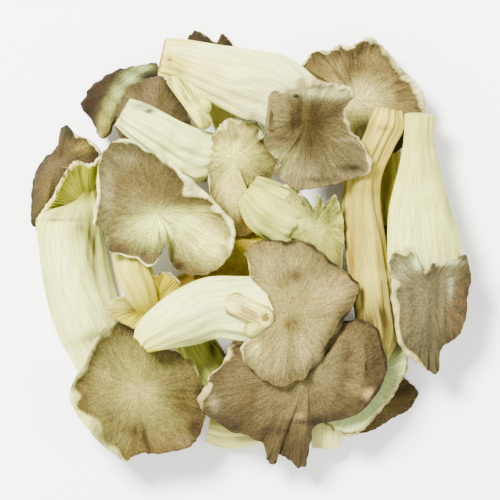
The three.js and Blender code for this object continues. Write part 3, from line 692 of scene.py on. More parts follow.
# Low stem bottom
# A stem that lies on the table under the large front cap, of which the cut end shows below it.
# Its flesh is pale and fibrous.
low_stem_bottom = {
    "pole": (290, 422, 3), "curve": 1.8, "roll": 1,
    "rim": [(272, 424, 0), (276, 406, 0), (292, 398, 0), (306, 408, 0), (308, 428, -1), (298, 440, -1),
            (282, 440, -1)],
    "stem": [(274, 426, -4, 13), (250, 432, -5, 15), (226, 434, -5, 15), (206, 430, -5, 13)],
}
piece = grow("low_stem_bottom", low_stem_bottom, {
    "seed": 620, "columns": 80,
    "cap": [(200, 197, 130), (180, 172, 104), (150, 141, 76)],
    "stem": (244, 243, 218), "stem_end": (240, 240, 208),
    "stains_and_painted_light": [(250, 440, 20, 4, 0.4, (176, 172, 90))],
})
piece.data.materials.append(flesh_material("low_stem_bottom_flesh"))
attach(piece, "root")
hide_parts("low_stem_bottom")


# Low stem front right
# A short pale stem whose end shows beside the front cap's torn flap.
# It lies on the table and its upper side is greenish in the shade.
low_stem_front_right = {
    "pole": (330, 352, 3), "curve": 1.8, "roll": 1,
    "rim": [(308, 352, 0), (316, 330, 0), (338, 322, 0), (356, 336, 0), (360, 356, -1), (344, 368, -1),
            (322, 366, 0)],
    "stem": [(330, 366, -4, 13), (328, 400, -5, 14), (327, 430, -5, 15), (327, 452, -5, 13)],
}
piece = grow("low_stem_front_right", low_stem_front_right, {
    "seed": 200, "columns": 80,
    "cap": [(200, 197, 130), (180, 172, 104), (150, 141, 76)],
    "stem": (242, 242, 214), "stem_end": (244, 242, 214),
})
piece.data.materials.append(flesh_material("low_stem_front_right_flesh"))
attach(piece, "root")
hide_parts("low_stem_front_right")


# Low stem right
# A long stem and its small cap, seen in the gap between the two stems on the right.
# It carries both of them.
low_stem_right = {
    "pole": (400, 266, 3), "curve": 1.8, "roll": 1,
    "rim": [(370, 260, 0), (378, 230, 0), (402, 222, 0), (424, 236, 0), (432, 270, -1), (424, 306, -1),
            (404, 336, -1), (384, 330, -1), (372, 296, 0)],
    "stem": [(396, 244, -5, 14), (389, 204, -6, 15), (388, 160, -6, 15), (390, 132, -5, 12)],
}
piece = grow("low_stem_right", low_stem_right, {
    "seed": 220, "columns": 88,
    "cap": [(186, 178, 108), (150, 139, 72), (120, 107, 44)],
    "stem": (222, 219, 156), "stem_end": (216, 212, 142),
    "stains_and_painted_light": [(391, 200, 5, 40, 0.4, (160, 152, 68))],
})
piece.data.materials.append(flesh_material("low_stem_right_flesh"))
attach(piece, "root")
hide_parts("low_stem_right")


# Gilled cap left
# A mushroom turned upside down at the left edge, with a thick cream stem.
# Its cap shows the gills, and its margin is rolled right over, so that the brown outer face lies beside them.
# Gills, margin and stem are one piece of flesh, and the rolled face is joined on as a second skin.

# columns of the solid model's rings where the gills show
GILLED_COLUMNS = 72


def join(piece, others):
    """Joins the other skins of a mushroom to its first one."""
    skins = [piece, *others]
    with bpy.context.temp_override(active_object=piece, object=piece, selected_editable_objects=skins):
        bpy.ops.object.join()


gilled_cap_left = {
    "pole": (84, 204, -9), "curve": 1.7, "roll": 0,
    "gills_up": True,
    "columns": GILLED_COLUMNS,
    "rim": [(32, 222, 2), (41, 210, 5), (51, 195, 7), (59, 179, 8), (69, 165, 8), (78, 159, 8),
            (90, 164, 8), (102, 153, 8), (112, 170, 3), (112, 200, 0), (102, 222, -2), (70, 232, -2),
            (46, 232, 0)],
    "stem": [(68, 214, 5, 29), (68, 244, 3, 32), (74, 280, 1, 33), (86, 320, 0, 33), (98, 356, 0, 26),
             (104, 376, 0, 20)],
}
rolled_margin = {
    "pole": (54, 166, 7), "curve": 1.8, "roll": 1,
    "rim": [(28, 223, 1), (29, 200, 1), (30, 177, 1), (37, 160, 1), (51, 149, 1), (56, 138, 0),
            (57, 127, -1), (64, 124, -1), (73, 132, 0), (89, 140, 1), (97, 150, 2), (98, 162, 3),
            (88, 172, 3), (78, 175, 3), (68, 184, 3), (60, 196, 2), (50, 210, 1), (38, 226, 0)],
}
gilled_look = {
    "seed": 240, "columns": 304, "gills": 64, "gill_depth": 0.9, "ragged": 0.28, "ridges": 0.25,
    "cap": [(112, 99, 46), (108, 95, 42), (104, 91, 40)],
    "gill": (222, 222, 146),
    "lips": [(-1, 7, 1.2)], "lip_height": 0.5, "lip_colour": (236, 234, 210),
    "stem": (238, 240, 206), "stem_end": (241, 242, 214),
    # the dark olive mark down the stem's right side at (92, 246) is a painted shadow from the big cap's edge,
    # and the pale mark at (64, 280) is painted light on the stem's lit side
    "stains_and_painted_light": [(88, 214, 22, 9, 0.7, (214, 216, 164)), (60, 215, 16, 7, 0.6, (206, 208, 154)),
               (62, 220, 22, 1.6, 0.8, (150, 132, 70)), (92, 246, 8, 30, 0.95, (166, 160, 88)),
               (78, 228, 9, 9, 0.6, (164, 148, 76)), (64, 280, 12, 44, 0.4, (246, 248, 226)),
               (96, 190, 8, 12, 0.5, (190, 186, 120)), (44, 300, 5, 50, 0.4, (214, 220, 176))],
}
margin_look = {
    **gilled_look,
    "seed": 246, "columns": 192, "ragged": 0.28, "waviness": 0.35,
    "cap": [(162, 146, 108), (142, 126, 90), (104, 90, 62)],
    "lips": [(8, 10, 1.0)],
    "stains_and_painted_light": [(42, 186, 7, 14, 0.5, (176, 163, 102)), (80, 146, 10, 7, 0.7, (196, 185, 118)),
               (60, 131, 7, 6, 0.7, (116, 115, 88)), (34, 212, 6, 9, 0.5, (150, 146, 88)),
               (36, 168, 5, 8, 0.5, (80, 69, 30)), (56, 152, 10, 6, 0.5, (124, 106, 46))],
}
loose = np.vstack([loose_points(gilled_cap_left), loose_points(rolled_margin)])
piece = grow_skin("gilled_cap_left", gilled_cap_left, gilled_look, loose)
join(piece, [grow_skin("gilled_cap_left", rolled_margin, margin_look, loose)])
piece.data.materials.append(flesh_material("gilled_cap_left_flesh"))
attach(piece, "root")
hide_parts("gilled_cap_left")


# Cap back right
# A wide cap at the back right, hollow in the middle like a shallow dish.
# It is cream in the hollow, brown towards the margin, and its right edge is rolled and white.
# Folds run in from the back edge, where it was crowded while it grew.
cap_back_right = {
    "pole": (358, 100, -3), "curve": 1.7, "roll": -1.5,
    "humps": [(346, 66, 7, 14, 2.5), (318, 70, 12, 14, 3), (388, 82, 10, 22, -2)],
    "rim": [(290, 60, 0), (300, 64, 2), (314, 49, 1), (330, 50, 3), (341, 43, 1), (352, 46, 3),
            (371, 35, 3), (386, 46, 5), (402, 65, 6), (417, 80, 6), (426, 102, 5), (420, 128, 2),
            (396, 150, 0), (362, 156, -2), (328, 144, -2), (302, 116, -1), (288, 84, -1)],
    "stem": [(346, 116, -10, 16), (326, 146, -12, 15), (312, 174, -12, 14)],
}
piece = grow("cap_back_right", cap_back_right, {
    "seed": 260, "columns": 208, "waviness": 0.7, "pleats": 0.2, "frill": 0.5,
    "cap": [(214, 208, 172), (190, 178, 130), (146, 130, 88)],
    "lips": [(6, 10, 3.2), (0, 5, 0.7)], "lip_height": 0.45, "lip_colour": (230, 229, 206),
    # the cream patch at (352, 126) is partly the hollow's own cream and partly painted light that lifts the
    # shadow falling in the hollow's low end
    "stains_and_painted_light": [(352, 126, 10, 12, 0.9, (228, 226, 188)), (372, 112, 12, 8, 0.6, (222, 218, 176)),
               (362, 100, 22, 18, 0.8, (226, 224, 190)), (336, 92, 14, 14, 0.5, (214, 210, 170)),
               (402, 84, 9, 22, 0.7, (140, 122, 80)), (350, 64, 9, 8, 0.6, (132, 112, 74)),
               (366, 66, 18, 8, 0.5, (146, 128, 84)), (316, 66, 9, 10, 0.5, (164, 144, 92)),
               (330, 60, 5, 10, 0.4, (200, 190, 152)), (390, 66, 12, 7, 0.5, (150, 132, 88))],
})
piece.data.materials.append(flesh_material("cap_back_right_flesh"))
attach(piece, "root")
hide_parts("cap_back_right")


# Cap behind left
# A smooth brown cap behind the short stem at the back left.
# It lies at a slant on the cap below it.
cap_behind_left = {
    "pole": (154, 116, 4), "curve": 1.9, "roll": 1.5,
    "rim": [(118, 108, -1), (124, 93, 0), (132, 83, 0), (153, 77, 0), (167, 81, 0), (178, 96, -1),
            (191, 122, -2), (190, 148, -3), (164, 162, -3), (134, 152, -2), (118, 132, -1)],
    "stem": [(166, 130, -4, 14), (186, 154, -6, 13), (206, 176, -7, 12)],
}
piece = grow("cap_behind_left", cap_behind_left, {
    "seed": 280, "columns": 112, "waviness": 0.5, "pleats": 0.2,
    "cap": [(178, 163, 128), (166, 151, 116), (150, 135, 98)],
    "stains_and_painted_light": [(136, 88, 9, 7, 0.7, (104, 86, 34)), (128, 96, 6, 7, 0.5, (170, 157, 96)),
               (160, 96, 12, 14, 0.4, (158, 150, 92)), (176, 112, 6, 10, 0.5, (112, 103, 46))],
})
piece.data.materials.append(flesh_material("cap_behind_left_flesh"))
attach(piece, "root")
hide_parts("cap_behind_left")


# Mid left of centre
# A mushroom with a short thick stem that lies across the back left.
# Its cap hangs down over the heap in two folds, frilled and pale along the top.
mid_left_of_centre = {
    "pole": (234, 158, 3), "curve": 1.7, "roll": 1,
    "humps": [(244, 146, 16, 16, 2), (222, 176, 8, 22, -2), (240, 206, 10, 18, 2)],
    "rim": [(210, 146, 1), (214, 132, 2), (222, 126, 2), (232, 120, 3), (250, 120, 2), (261, 130, 0),
            (266, 142, -1), (279, 166, -2), (266, 184, -2), (248, 194, -2), (256, 212, -4), (256, 229, -6),
            (235, 239, -7), (222, 214, -4), (212, 200, -2), (207, 172, 1)],
    "stem": [(206, 158, -6, 25), (182, 148, -6, 24), (156, 132, -5, 21), (136, 120, -4, 18),
             (122, 112, -3, 14)],
}
piece = grow("mid_left_of_centre", mid_left_of_centre, {
    "seed": 300, "columns": 192, "waviness": 0.9, "pleats": 0.2, "frill": 0.6, "ragged": 0.28,
    "cap": [(236, 237, 200), (226, 224, 182), (186, 174, 124)],
    "lips": [(1, 6, 1.9), (14, 16, 1.2)], "lip_height": 0.45, "lip_colour": (226, 226, 200),
    "stem": (240, 242, 214), "stem_end": (238, 241, 214), "ridges": 0.55,
    # the olive marks along the stem's lower edge at (186, 170) and (202, 180) are painted shade on the side
    # away from the light
    "stains_and_painted_light": [(236, 136, 18, 8, 0.6, (178, 170, 126)), (262, 172, 9, 16, 0.7, (140, 122, 72)),
               (246, 176, 14, 8, 0.5, (176, 158, 108)), (246, 222, 12, 14, 0.85, (186, 162, 84)),
               (254, 196, 10, 8, 0.7, (166, 140, 76)), (230, 188, 9, 22, 0.5, (234, 230, 206)),
               (142, 106, 13, 5, 0.7, (176, 196, 168)), (150, 112, 5, 3, 0.8, (120, 140, 116)),
               (122, 120, 5, 12, 0.5, (214, 216, 176)), (186, 170, 24, 4, 0.6, (204, 206, 130)),
               (180, 150, 30, 3, 0.4, (214, 218, 160)), (202, 180, 5, 10, 0.5, (196, 196, 110))],
})
piece.data.materials.append(flesh_material("mid_left_of_centre_flesh"))
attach(piece, "root")
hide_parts("mid_left_of_centre")


# Yellow stem right
# A long yellowish stem that runs down the right side, with a knobbly cut end at the back.
# Its cap lies upside down at the front, so that only its pale gilled margin shows.
yellow_stem_right = {
    "pole": (366, 378, -4), "curve": 1.7, "roll": 0,
    "gills_up": True,
    "rim": [(394, 330, 0), (406, 342, 2), (409, 368, 3), (401, 384, 2), (387, 404, 2), (368, 426, 1),
            (346, 436, 0), (322, 420, -1), (312, 384, -1), (328, 352, -1), (356, 334, -1)],
    "stem": [(376, 342, 9, 19), (374, 304, 8, 19), (368, 250, 6, 20), (362, 206, 4, 19), (364, 172, 3, 17),
             (378, 140, 3, 15), (386, 122, 3, 16), (389, 106, 3, 11)],
}
piece = grow("yellow_stem_right", yellow_stem_right, {
    "seed": 320, "columns": 192, "frill": 0.5, "ridges": 0.6,
    "gills": 60, "gill_depth": 0.3, "gill_shade": 0.15,
    "cap": [(200, 196, 120), (176, 165, 88), (150, 136, 60)],
    "gill": (222, 226, 198),
    "lips": [(0, 7, 0.8)], "lip_height": 0.4,
    "stem": (222, 218, 166), "stem_end": (220, 214, 150), "cut": (206, 197, 88),
    # the dark brown patch at (370, 322) is painted shade where the stem lies deep between its neighbours
    "stains_and_painted_light": [(352, 280, 4, 60, 0.9, (198, 172, 70)), (372, 256, 7, 40, 0.6, (232, 228, 184)),
               (370, 322, 26, 22, 1.0, (112, 96, 40)), (386, 342, 9, 16, 0.7, (172, 162, 92)),
               (384, 250, 3, 60, 0.5, (196, 180, 104)), (386, 116, 11, 9, 0.8, (236, 230, 190)),
               (378, 138, 9, 8, 0.7, (232, 226, 180)), (367, 122, 5, 14, 0.7, (196, 186, 104)),
               (380, 103, 7, 3, 0.7, (196, 166, 96)), (384, 128, 5, 2, 0.7, (176, 158, 96)),
               (362, 230, 3, 50, 0.4, (206, 190, 112))],
})
piece.data.materials.append(flesh_material("yellow_stem_right_flesh"))
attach(piece, "root")
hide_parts("yellow_stem_right")


# Cap front left
# The broad cap at the front left, shallow like a saucer, with a smooth olive-cream hollow.
# A thick white margin runs round its left side, and its right side is brown and folded down.
cap_front_left = {
    "pole": (138, 392, -3), "curve": 1.6, "roll": -1.5,
    "humps": [(190, 404, 12, 30, 3), (166, 372, 16, 12, 2), (139, 440, 8, 14, 2)],
    "rim": [(115, 321, 4), (96, 339, 5), (85, 360, 5), (69, 389, 5), (75, 411, 5), (102, 445, 4),
            (124, 462, 3), (132, 456, 2), (143, 451, 2), (155, 454, 1), (182, 448, 0), (197, 436, -1),
            (207, 410, -1), (210, 397, -1), (197, 373, -1), (178, 352, 0), (159, 346, 1), (143, 326, 3),
            (127, 319, 4)],
    "stem": [(150, 388, -10, 17), (176, 380, -12, 16), (200, 372, -12, 15)],
}
piece = grow("cap_front_left", cap_front_left, {
    "seed": 340, "columns": 240, "waviness": 0.6, "pleats": 0.12, "frill": 0.4,
    "cap": [(202, 200, 146), (180, 173, 116), (148, 132, 80)],
    "lips": [(0, 6, 2.4), (1.5, 5, 3.8)], "lip_height": 0.45, "lip_colour": (232, 232, 204),
    "stains_and_painted_light": [(132, 368, 14, 16, 0.6, (200, 196, 134)), (138, 392, 16, 8, 0.7, (220, 214, 176)),
               (104, 374, 9, 8, 0.5, (212, 206, 164)), (128, 330, 12, 7, 0.6, (136, 120, 84)),
               (183, 396, 15, 26, 0.75, (134, 116, 66)), (200, 394, 5, 14, 0.8, (110, 90, 50)),
               (196, 424, 8, 16, 0.8, (112, 92, 52)), (184, 366, 12, 8, 0.5, (146, 128, 84)),
               (110, 424, 12, 12, 0.6, (150, 130, 78)), (84, 398, 7, 18, 0.6, (150, 132, 84)),
               (133, 430, 9, 9, 0.8, (112, 90, 50)), (144, 434, 3, 10, 0.6, (88, 70, 40)),
               (162, 438, 12, 9, 0.5, (178, 160, 116)), (184, 442, 8, 6, 0.5, (196, 184, 150))],
})
piece.data.materials.append(flesh_material("cap_front_left_flesh"))
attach(piece, "root")
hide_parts("cap_front_left")


# Cap front
# The widest cap, low at the front, with a velvety brown surface and streaks that run out from its centre.
# Its left edge is frilled and pale, and a torn flap hangs off its front.
cap_front = {
    "pole": (306, 372, 5), "curve": 1.9, "roll": 1.5,
    "humps": [(232, 392, 16, 26, 3), (258, 404, 8, 22, -2), (362, 372, 10, 30, 3), (346, 392, 7, 26, -2),
              (300, 430, 14, 14, 2)],
    "rim": [(344, 322, -1), (361, 321, -1), (375, 328, -1), (383, 352, -2), (385, 369, -2), (377, 394, -3),
            (354, 417, -3), (318, 426, -4), (310, 442, -5), (307, 464, -7), (299, 469, -8), (290, 462, -8),
            (280, 456, -7), (274, 466, -8), (267, 462, -8), (266, 446, -6), (250, 437, -4), (231, 433, -4),
            (212, 418, -3), (201, 401, -3), (210, 385, -1), (208, 377, -1), (223, 360, 0), (230, 346, 1),
            (242, 338, 1), (274, 332, 0), (312, 326, 0)],
    "stem": [(300, 360, -5, 16), (296, 334, -7, 15), (292, 306, -8, 14)],
}
piece = grow("cap_front", cap_front, {
    "seed": 360, "columns": 256, "waviness": 0.8, "pleats": 0.22, "frill": 0.6, "ragged": 0.28,
    "cap": [(182, 172, 128), (168, 154, 112), (142, 126, 86)],
    "lips": [(21, 24, 2.2), (19, 20, 1.5)], "fringes": [(-0.4, 6, 1.1)], "lip_height": 0.5,
    "stains_and_painted_light": [(330, 356, 14, 24, 0.6, (184, 174, 130)), (346, 352, 6, 12, 0.6, (116, 92, 60)),
               (346, 374, 5, 6, 0.6, (104, 84, 54)), (365, 362, 1.3, 18, 0.9, (60, 46, 30)),
               (374, 362, 6, 24, 0.5, (126, 102, 68)), (368, 393, 6, 5, 0.9, (232, 224, 196)),
               (358, 384, 9, 6, 0.4, (206, 190, 150)), (299, 416, 5, 3, 0.7, (214, 198, 160)),
               (310, 421, 34, 4, 0.7, (98, 82, 52)), (250, 398, 16, 12, 0.5, (176, 162, 118)),
               (226, 424, 14, 8, 0.7, (104, 88, 56)), (296, 448, 12, 14, 0.6, (122, 106, 72)),
               (276, 430, 26, 6, 0.6, (104, 88, 56)), (214, 404, 5, 8, 0.7, (214, 210, 180)),
               (220, 366, 8, 14, 0.5, (110, 92, 58)), (322, 398, 26, 8, 0.4, (160, 144, 100))],
})
piece.data.materials.append(flesh_material("cap_front_flesh"))
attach(piece, "root")
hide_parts("cap_front")


# Small gilled
# A small mushroom on its back, left of the centre, whose yellow gills open like a fan.
# A pale collar of skin stays at its left edge.
small_gilled = {
    "pole": (148, 306, -4), "curve": 1.5, "roll": 0,
    "gills_up": True,
    "columns": GILLED_COLUMNS,
    "rim": [(108, 311, 2), (117, 320, 2), (140, 330, 1), (164, 328, 1), (184, 306, 3), (182, 286, 4),
            (166, 271, 4), (150, 280, 3), (126, 294, 2), (112, 300, 2)],
    "stem": [(142, 290, 3, 16), (134, 270, 4, 17), (130, 246, 4, 17), (130, 222, 4, 14)],
}
piece = grow("small_gilled", small_gilled, {
    "seed": 380, "columns": 320, "gills": 72, "gill_depth": 0.9, "ridges": 0.5,
    "cap": [(210, 206, 120), (190, 179, 92), (160, 146, 60)],
    "gill": (226, 222, 124),
    "lips": [(0, 20, 0.5)], "lip_height": 0.3,
    "stem": (224, 221, 156), "stem_end": (228, 226, 170),
    "stains_and_painted_light": [(118, 304, 13, 12, 0.85, (234, 232, 200)), (160, 286, 12, 12, 0.5, (208, 196, 84)),
               (178, 288, 7, 8, 0.7, (160, 140, 56)), (150, 262, 9, 10, 0.5, (196, 166, 80)),
               (156, 256, 4, 5, 0.8, (186, 110, 50)), (124, 262, 5, 20, 0.4, (240, 238, 204))],
})
piece.data.materials.append(flesh_material("small_gilled_flesh"))
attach(piece, "root")
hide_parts("small_gilled")


# Torn centre
# A pale mushroom in the centre, torn open, with a blunt cut stem and a ragged cap.
# The torn edge ends in short points of flesh.
torn_centre = {
    "pole": (312, 228, 3), "curve": 1.7, "roll": 1,
    "rim": [(276, 188, 2), (294, 190, 1), (316, 209, 3), (318, 196, 5), (326, 206, 3), (335, 196, 5),
            (343, 217, 1), (344, 245, -1), (341, 269, -3), (324, 257, -1), (300, 244, -1), (280, 238, -1),
            (270, 212, 0)],
    "stem": [(296, 222, -5, 24), (280, 214, -5, 27), (264, 204, -4, 25), (252, 194, -3, 18),
             (247, 190, -3, 14)],
}
piece = grow("torn_centre", torn_centre, {
    "seed": 400, "columns": 192, "ragged": 0.28, "frill": 0.8, "waviness": 0.8, "ridges": 0.7,
    "cap": [(226, 226, 184), (214, 214, 158), (190, 189, 130)],
    "lips": [(0, 20, 0.5)], "lip_height": 0.5,
    "stem": (232, 234, 194), "stem_end": (228, 228, 182), "cut": (222, 220, 162),
    "stains_and_painted_light": [(264, 184, 18, 5, 0.6, (200, 198, 140)), (304, 204, 4, 3, 0.7, (120, 116, 80)),
               (312, 212, 10, 8, 0.6, (160, 156, 116)), (266, 224, 8, 10, 0.6, (190, 182, 116)),
               (262, 238, 14, 5, 0.7, (130, 116, 76)), (328, 214, 4, 12, 0.6, (150, 146, 84)),
               (290, 226, 14, 8, 0.5, (236, 240, 206)), (340, 226, 4, 22, 0.5, (236, 238, 196)),
               (252, 200, 5, 12, 0.4, (216, 220, 160)), (306, 196, 12, 4, 0.6, (176, 180, 140))],
})
piece.data.materials.append(flesh_material("torn_centre_flesh"))
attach(piece, "root")
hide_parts("torn_centre")


# Stem and cap right
# A mushroom with a long smooth stem along the right side, thick in the middle and thin at its cut end.
# Its cap hangs down in front as a pointed tongue with frilled white edges.
stem_and_cap_right = {
    "pole": (428, 288, 2), "curve": 1.6, "roll": 0,
    "humps": [(420, 266, 9, 10, 2.5), (452, 296, 12, 26, 2.5), (440, 300, 6, 30, -2), (406, 310, 8, 30, 2)],
    "rim": [(388, 256, 2), (388, 281, 1), (393, 311, -1), (400, 345, -4), (419, 363, -6), (431, 373, -8),
            (438, 372, -8), (441, 351, -6), (459, 337, -6), (466, 319, -5), (468, 298, -3), (471, 273, -2),
            (464, 256, 0), (448, 262, 3), (432, 264, 4), (420, 270, 5), (412, 251, 4), (400, 252, 3)],
    "stem": [(426, 272, -9, 34), (425, 238, -7, 35), (421, 204, -5, 29), (420, 169, -3, 20),
             (419, 140, -1, 14), (420, 112, 1, 14)],
}
piece = grow("stem_and_cap_right", stem_and_cap_right, {
    "seed": 420, "columns": 208, "waviness": 0.8, "pleats": 0.25, "frill": 0.5, "ragged": 0.28,
    "cap": [(180, 174, 138), (168, 160, 122), (148, 138, 98)],
    "lips": [(0, 1.5, 3.4), (1.5, 4, 2.2), (13, 17, 1.5)], "lip_height": 0.45,
    "stem": (236, 237, 204), "stem_end": (232, 232, 194), "ridges": 0.35,
    # the greenish mark down the stem's right side at (450, 190) is partly the flesh's green tint and partly
    # painted shade on the side away from the light
    "stains_and_painted_light": [(420, 262, 7, 8, 0.95, (232, 238, 216)), (445, 262, 12, 3, 0.9, (238, 240, 224)),
               (458, 308, 9, 24, 0.9, (186, 160, 116)), (445, 318, 1.6, 26, 0.8, (112, 96, 70)),
               (450, 288, 3, 10, 0.8, (206, 208, 192)), (453, 340, 6, 5, 0.8, (96, 74, 56)),
               (466, 296, 3, 24, 0.5, (112, 92, 76)), (426, 300, 12, 26, 0.4, (176, 166, 132)),
               (432, 344, 10, 14, 0.5, (138, 126, 100)), (400, 270, 7, 12, 0.6, (206, 206, 178)),
               (450, 190, 6, 56, 0.6, (206, 214, 166)), (424, 150, 4, 30, 0.4, (206, 204, 150)),
               (416, 220, 7, 30, 0.4, (222, 230, 190)), (419, 109, 13, 5, 0.8, (240, 240, 210))],
})
piece.data.materials.append(flesh_material("stem_and_cap_right_flesh"))
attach(piece, "root")
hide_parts("stem_and_cap_right")


# Big cap left
# A broad cap that hides its own stem, cream in its hollow and olive-brown towards the margin.
# A thick white roll of flesh runs along its upper right edge.
# Its two front lobes fold over each other, the right one with brown scratches.
big_cap_left = {
    "pole": (158, 212, -3), "curve": 1.7, "roll": -1.5,
    "humps": [(204, 248, 20, 16, 5), (178, 232, 9, 18, -3), (196, 214, 16, 12, -2), (124, 200, 18, 34, 2)],
    "rim": [(121, 140, 2), (136, 142, 4), (151, 150, 5), (165, 156, 6), (179, 169, 7), (193, 183, 8),
            (213, 200, 8), (223, 211, 8), (233, 221, 7), (235, 239, 5), (232, 252, 3), (223, 266, 1),
            (210, 274, 0), (192, 275, 0), (178, 269, 0), (171, 258, 1), (168, 243, 2), (163, 250, 0),
            (159, 260, -1), (151, 266, -1), (135, 257, -2), (114, 253, -2), (107, 240, -2), (104, 228, -2),
            (96, 220, -2), (99, 191, -1), (100, 161, 0), (108, 146, 1)],
    "stem": [(170, 222, -10, 16), (196, 232, -12, 15), (222, 244, -12, 14)],
}
piece = grow("big_cap_left", big_cap_left, {
    "seed": 440, "columns": 256, "waviness": 0.6, "pleats": 0.14, "frill": 0.4, "ragged": 0.285,
    "cap": [(176, 164, 116), (158, 144, 96), (150, 138, 94)],
    "lips": [(0, 10, 2.0), (5, 7, 6.2), (18, 21, 0.8), (24, 27, 0.8)],
    "lip_height": 0.45, "lip_colour": (236, 236, 214),
    "stains_and_painted_light": [(162, 227, 28, 15, 0.95, (240, 243, 208)), (186, 222, 16, 12, 0.6, (236, 238, 206)),
               (192, 198, 16, 12, 0.6, (136, 120, 70)), (160, 184, 24, 14, 0.6, (154, 142, 88)),
               (204, 214, 12, 8, 0.4, (226, 224, 180)), (126, 160, 14, 9, 0.6, (184, 180, 144)),
               (108, 190, 6, 28, 0.5, (200, 198, 164)), (134, 200, 12, 12, 0.4, (196, 188, 148)),
               (118, 250, 14, 9, 0.8, (132, 112, 76)), (142, 262, 12, 6, 0.7, (164, 146, 104)),
               (124, 234, 10, 7, 0.5, (214, 208, 172)), (208, 244, 20, 18, 0.9, (238, 236, 204)),
               (180, 266, 9, 6, 0.95, (112, 86, 46)), (194, 272, 10, 4, 0.7, (150, 130, 88)),
               (174, 250, 2.5, 14, 0.8, (160, 160, 96)), (214, 222, 14, 4, 0.4, (196, 182, 130)),
               (104, 244, 4, 8, 0.6, (222, 222, 196))],
})
piece.data.materials.append(flesh_material("big_cap_left_flesh"))
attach(piece, "root")
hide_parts("big_cap_left")


# Stem and cap centre
# The uppermost mushroom: a fan-shaped grey-brown cap and a curved pale stem that tapers to the left.
# Where the two meet, the flesh was cut and shows a white edge and a small scratched bud.

# rows and columns of a shoot in the solid model and here, the scale of its fibres, and how far under the
# solid's top its own top starts to be rounded off, in millimetres
SHOOT_ROWS = 3
SHOOT_COLUMNS = 12
SHOOT_END_ROWS = 14
SHOOT_MIDDLE_ROWS = 24
FINE_SHOOT_COLUMNS = 96
SHOOT_GRAIN_ROUND = 12
SHOOT_GRAIN_ALONG = 0.3
TOP_ROUNDING = 1.0


def shoot_rows(shoot, per_end, between, columns):
    """Rings of a tapered peg with round ends, from its root to its tip."""
    (x1, y1, z1, r1), (x2, y2, z2, r2) = shoot
    root, tip = place((x1, y1, z1)), place((x2, y2, z2))
    r1, r2 = r1 * PLAN_STEP, r2 * PLAN_STEP
    length = np.linalg.norm(tip - root)
    quarter = np.linspace(0, math.pi / 2, per_end + 1)
    profile = [(r1 * math.sin(q), -r1 * math.cos(q)) for q in quarter]
    profile += [(r1 + (r2 - r1) * t, length * t) for t in np.linspace(0, 1, between + 2)[1:-1]]
    profile += [(r2 * math.sin(q), length + r2 * math.cos(q)) for q in quarter[::-1]]
    turn = np.array(Vector((0, 1, 0)).rotation_difference(Vector(tip - root)).to_matrix())
    phi = 2 * math.pi * np.arange(columns) / columns
    rings = []
    for radius, rise in profile:
        ring = np.stack([radius * np.sin(phi), np.full(columns, rise), radius * np.cos(phi)], axis=1)
        rings.append(root + ring @ turn.T)
    return rings


def grow_shoot(name, shoot, colours, seed, loose, number):
    """A side shoot, bud or curled lobe that grew out of the same mushroom."""
    points = np.array(shoot_rows(shoot, SHOOT_END_ROWS, SHOOT_MIDDLE_ROWS, FINE_SHOOT_COLUMNS))
    turn = 2 * math.pi * np.arange(FINE_SHOOT_COLUMNS)[None, :] / FINE_SHOOT_COLUMNS
    way = way_along(points)
    bumps = waves(seed, (2, 6), 0.3, 10)(turn, way) * 0.12
    bumps = bumps + waves(seed + 1, (8, 40), 0.2, 30)(turn, way) * 0.07
    points = points + bumps[..., None] * grid_normals(points)
    blotch = waves(seed + 2, (1, 5), 0.5, 14)(turn, way)
    streak = waves(seed + 3, (10, 40), 0.3, 24)(turn, way)
    pale, dark = (shade(*c) for c in colours)
    mix = smooth_step(-0.6, 1.4, blotch + 0.6 * streak)[..., None]
    colour = np.clip(over(pale, mix, dark), DARKEST, LIGHTEST)
    grain = grain_pattern(turn, way, SHOOT_GRAIN_ROUND, SHOOT_GRAIN_ALONG)
    points = sag_over_heap(name, loose, points)
    top = 1000 * max(v.co.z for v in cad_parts[name].data.vertices)
    past = np.maximum(points[..., 2] - top + TOP_ROUNDING, 0)
    points[..., 2] += 1 - np.exp(-past) - past
    velvet = np.full(way.shape, 0.5)
    ends = points[[0, -1]].mean(axis=1)
    return build_mesh(f"{name}_shoot_{number}", points, colour, grain, velvet, ends)


def grow_with_shoots(name, spec, look):
    """One mushroom with the shoots that grew out of it, joined to it."""
    rings = [loose_points(spec)]
    for shoot in spec["shoots"]:
        rings += shoot_rows(shoot, SHOOT_ROWS, 0, SHOOT_COLUMNS)
    loose = np.vstack(rings)
    piece = grow_skin(name, spec, look, loose)
    shoots = []
    for number, (shoot, colours) in enumerate(zip(spec["shoots"], look["shoot_colours"])):
        seed = look["seed"] + 40 + 5 * number
        shoots.append(grow_shoot(name, shoot, colours, seed, loose, number))
    join(piece, shoots)
    return piece


stem_and_cap_centre = {
    "pole": (290, 314, 4), "curve": 1.8, "roll": 1.2,
    "humps": [(272, 262, 16, 14, 2), (300, 330, 26, 26, -2), (334, 300, 14, 30, 2)],
    "rim": [(249, 250, 0), (264, 240, 0), (284, 241, 0), (308, 244, -1), (333, 262, -2), (358, 283, -3),
            (356, 299, -3), (345, 319, -3), (325, 349, -3), (306, 376, -3), (298, 380, -3), (285, 386, -3),
            (271, 383, -3), (253, 369, -2), (242, 347, -1), (264, 328, 2), (269, 316, 2), (265, 292, 2),
            (251, 278, 1), (248, 262, 0)],
    "stem": [(280, 308, -9, 30), (250, 307, -8, 31), (214, 306, -7, 30), (189, 316, -6, 28),
             (168, 326, -5, 23), (150, 337, -4, 16), (142, 345, -4, 9)],
    "shoots": [[(262, 316, 1, 12), (236, 304, 2, 12)], [(262, 316, 1, 12), (252, 328, 1, 8)]],
}
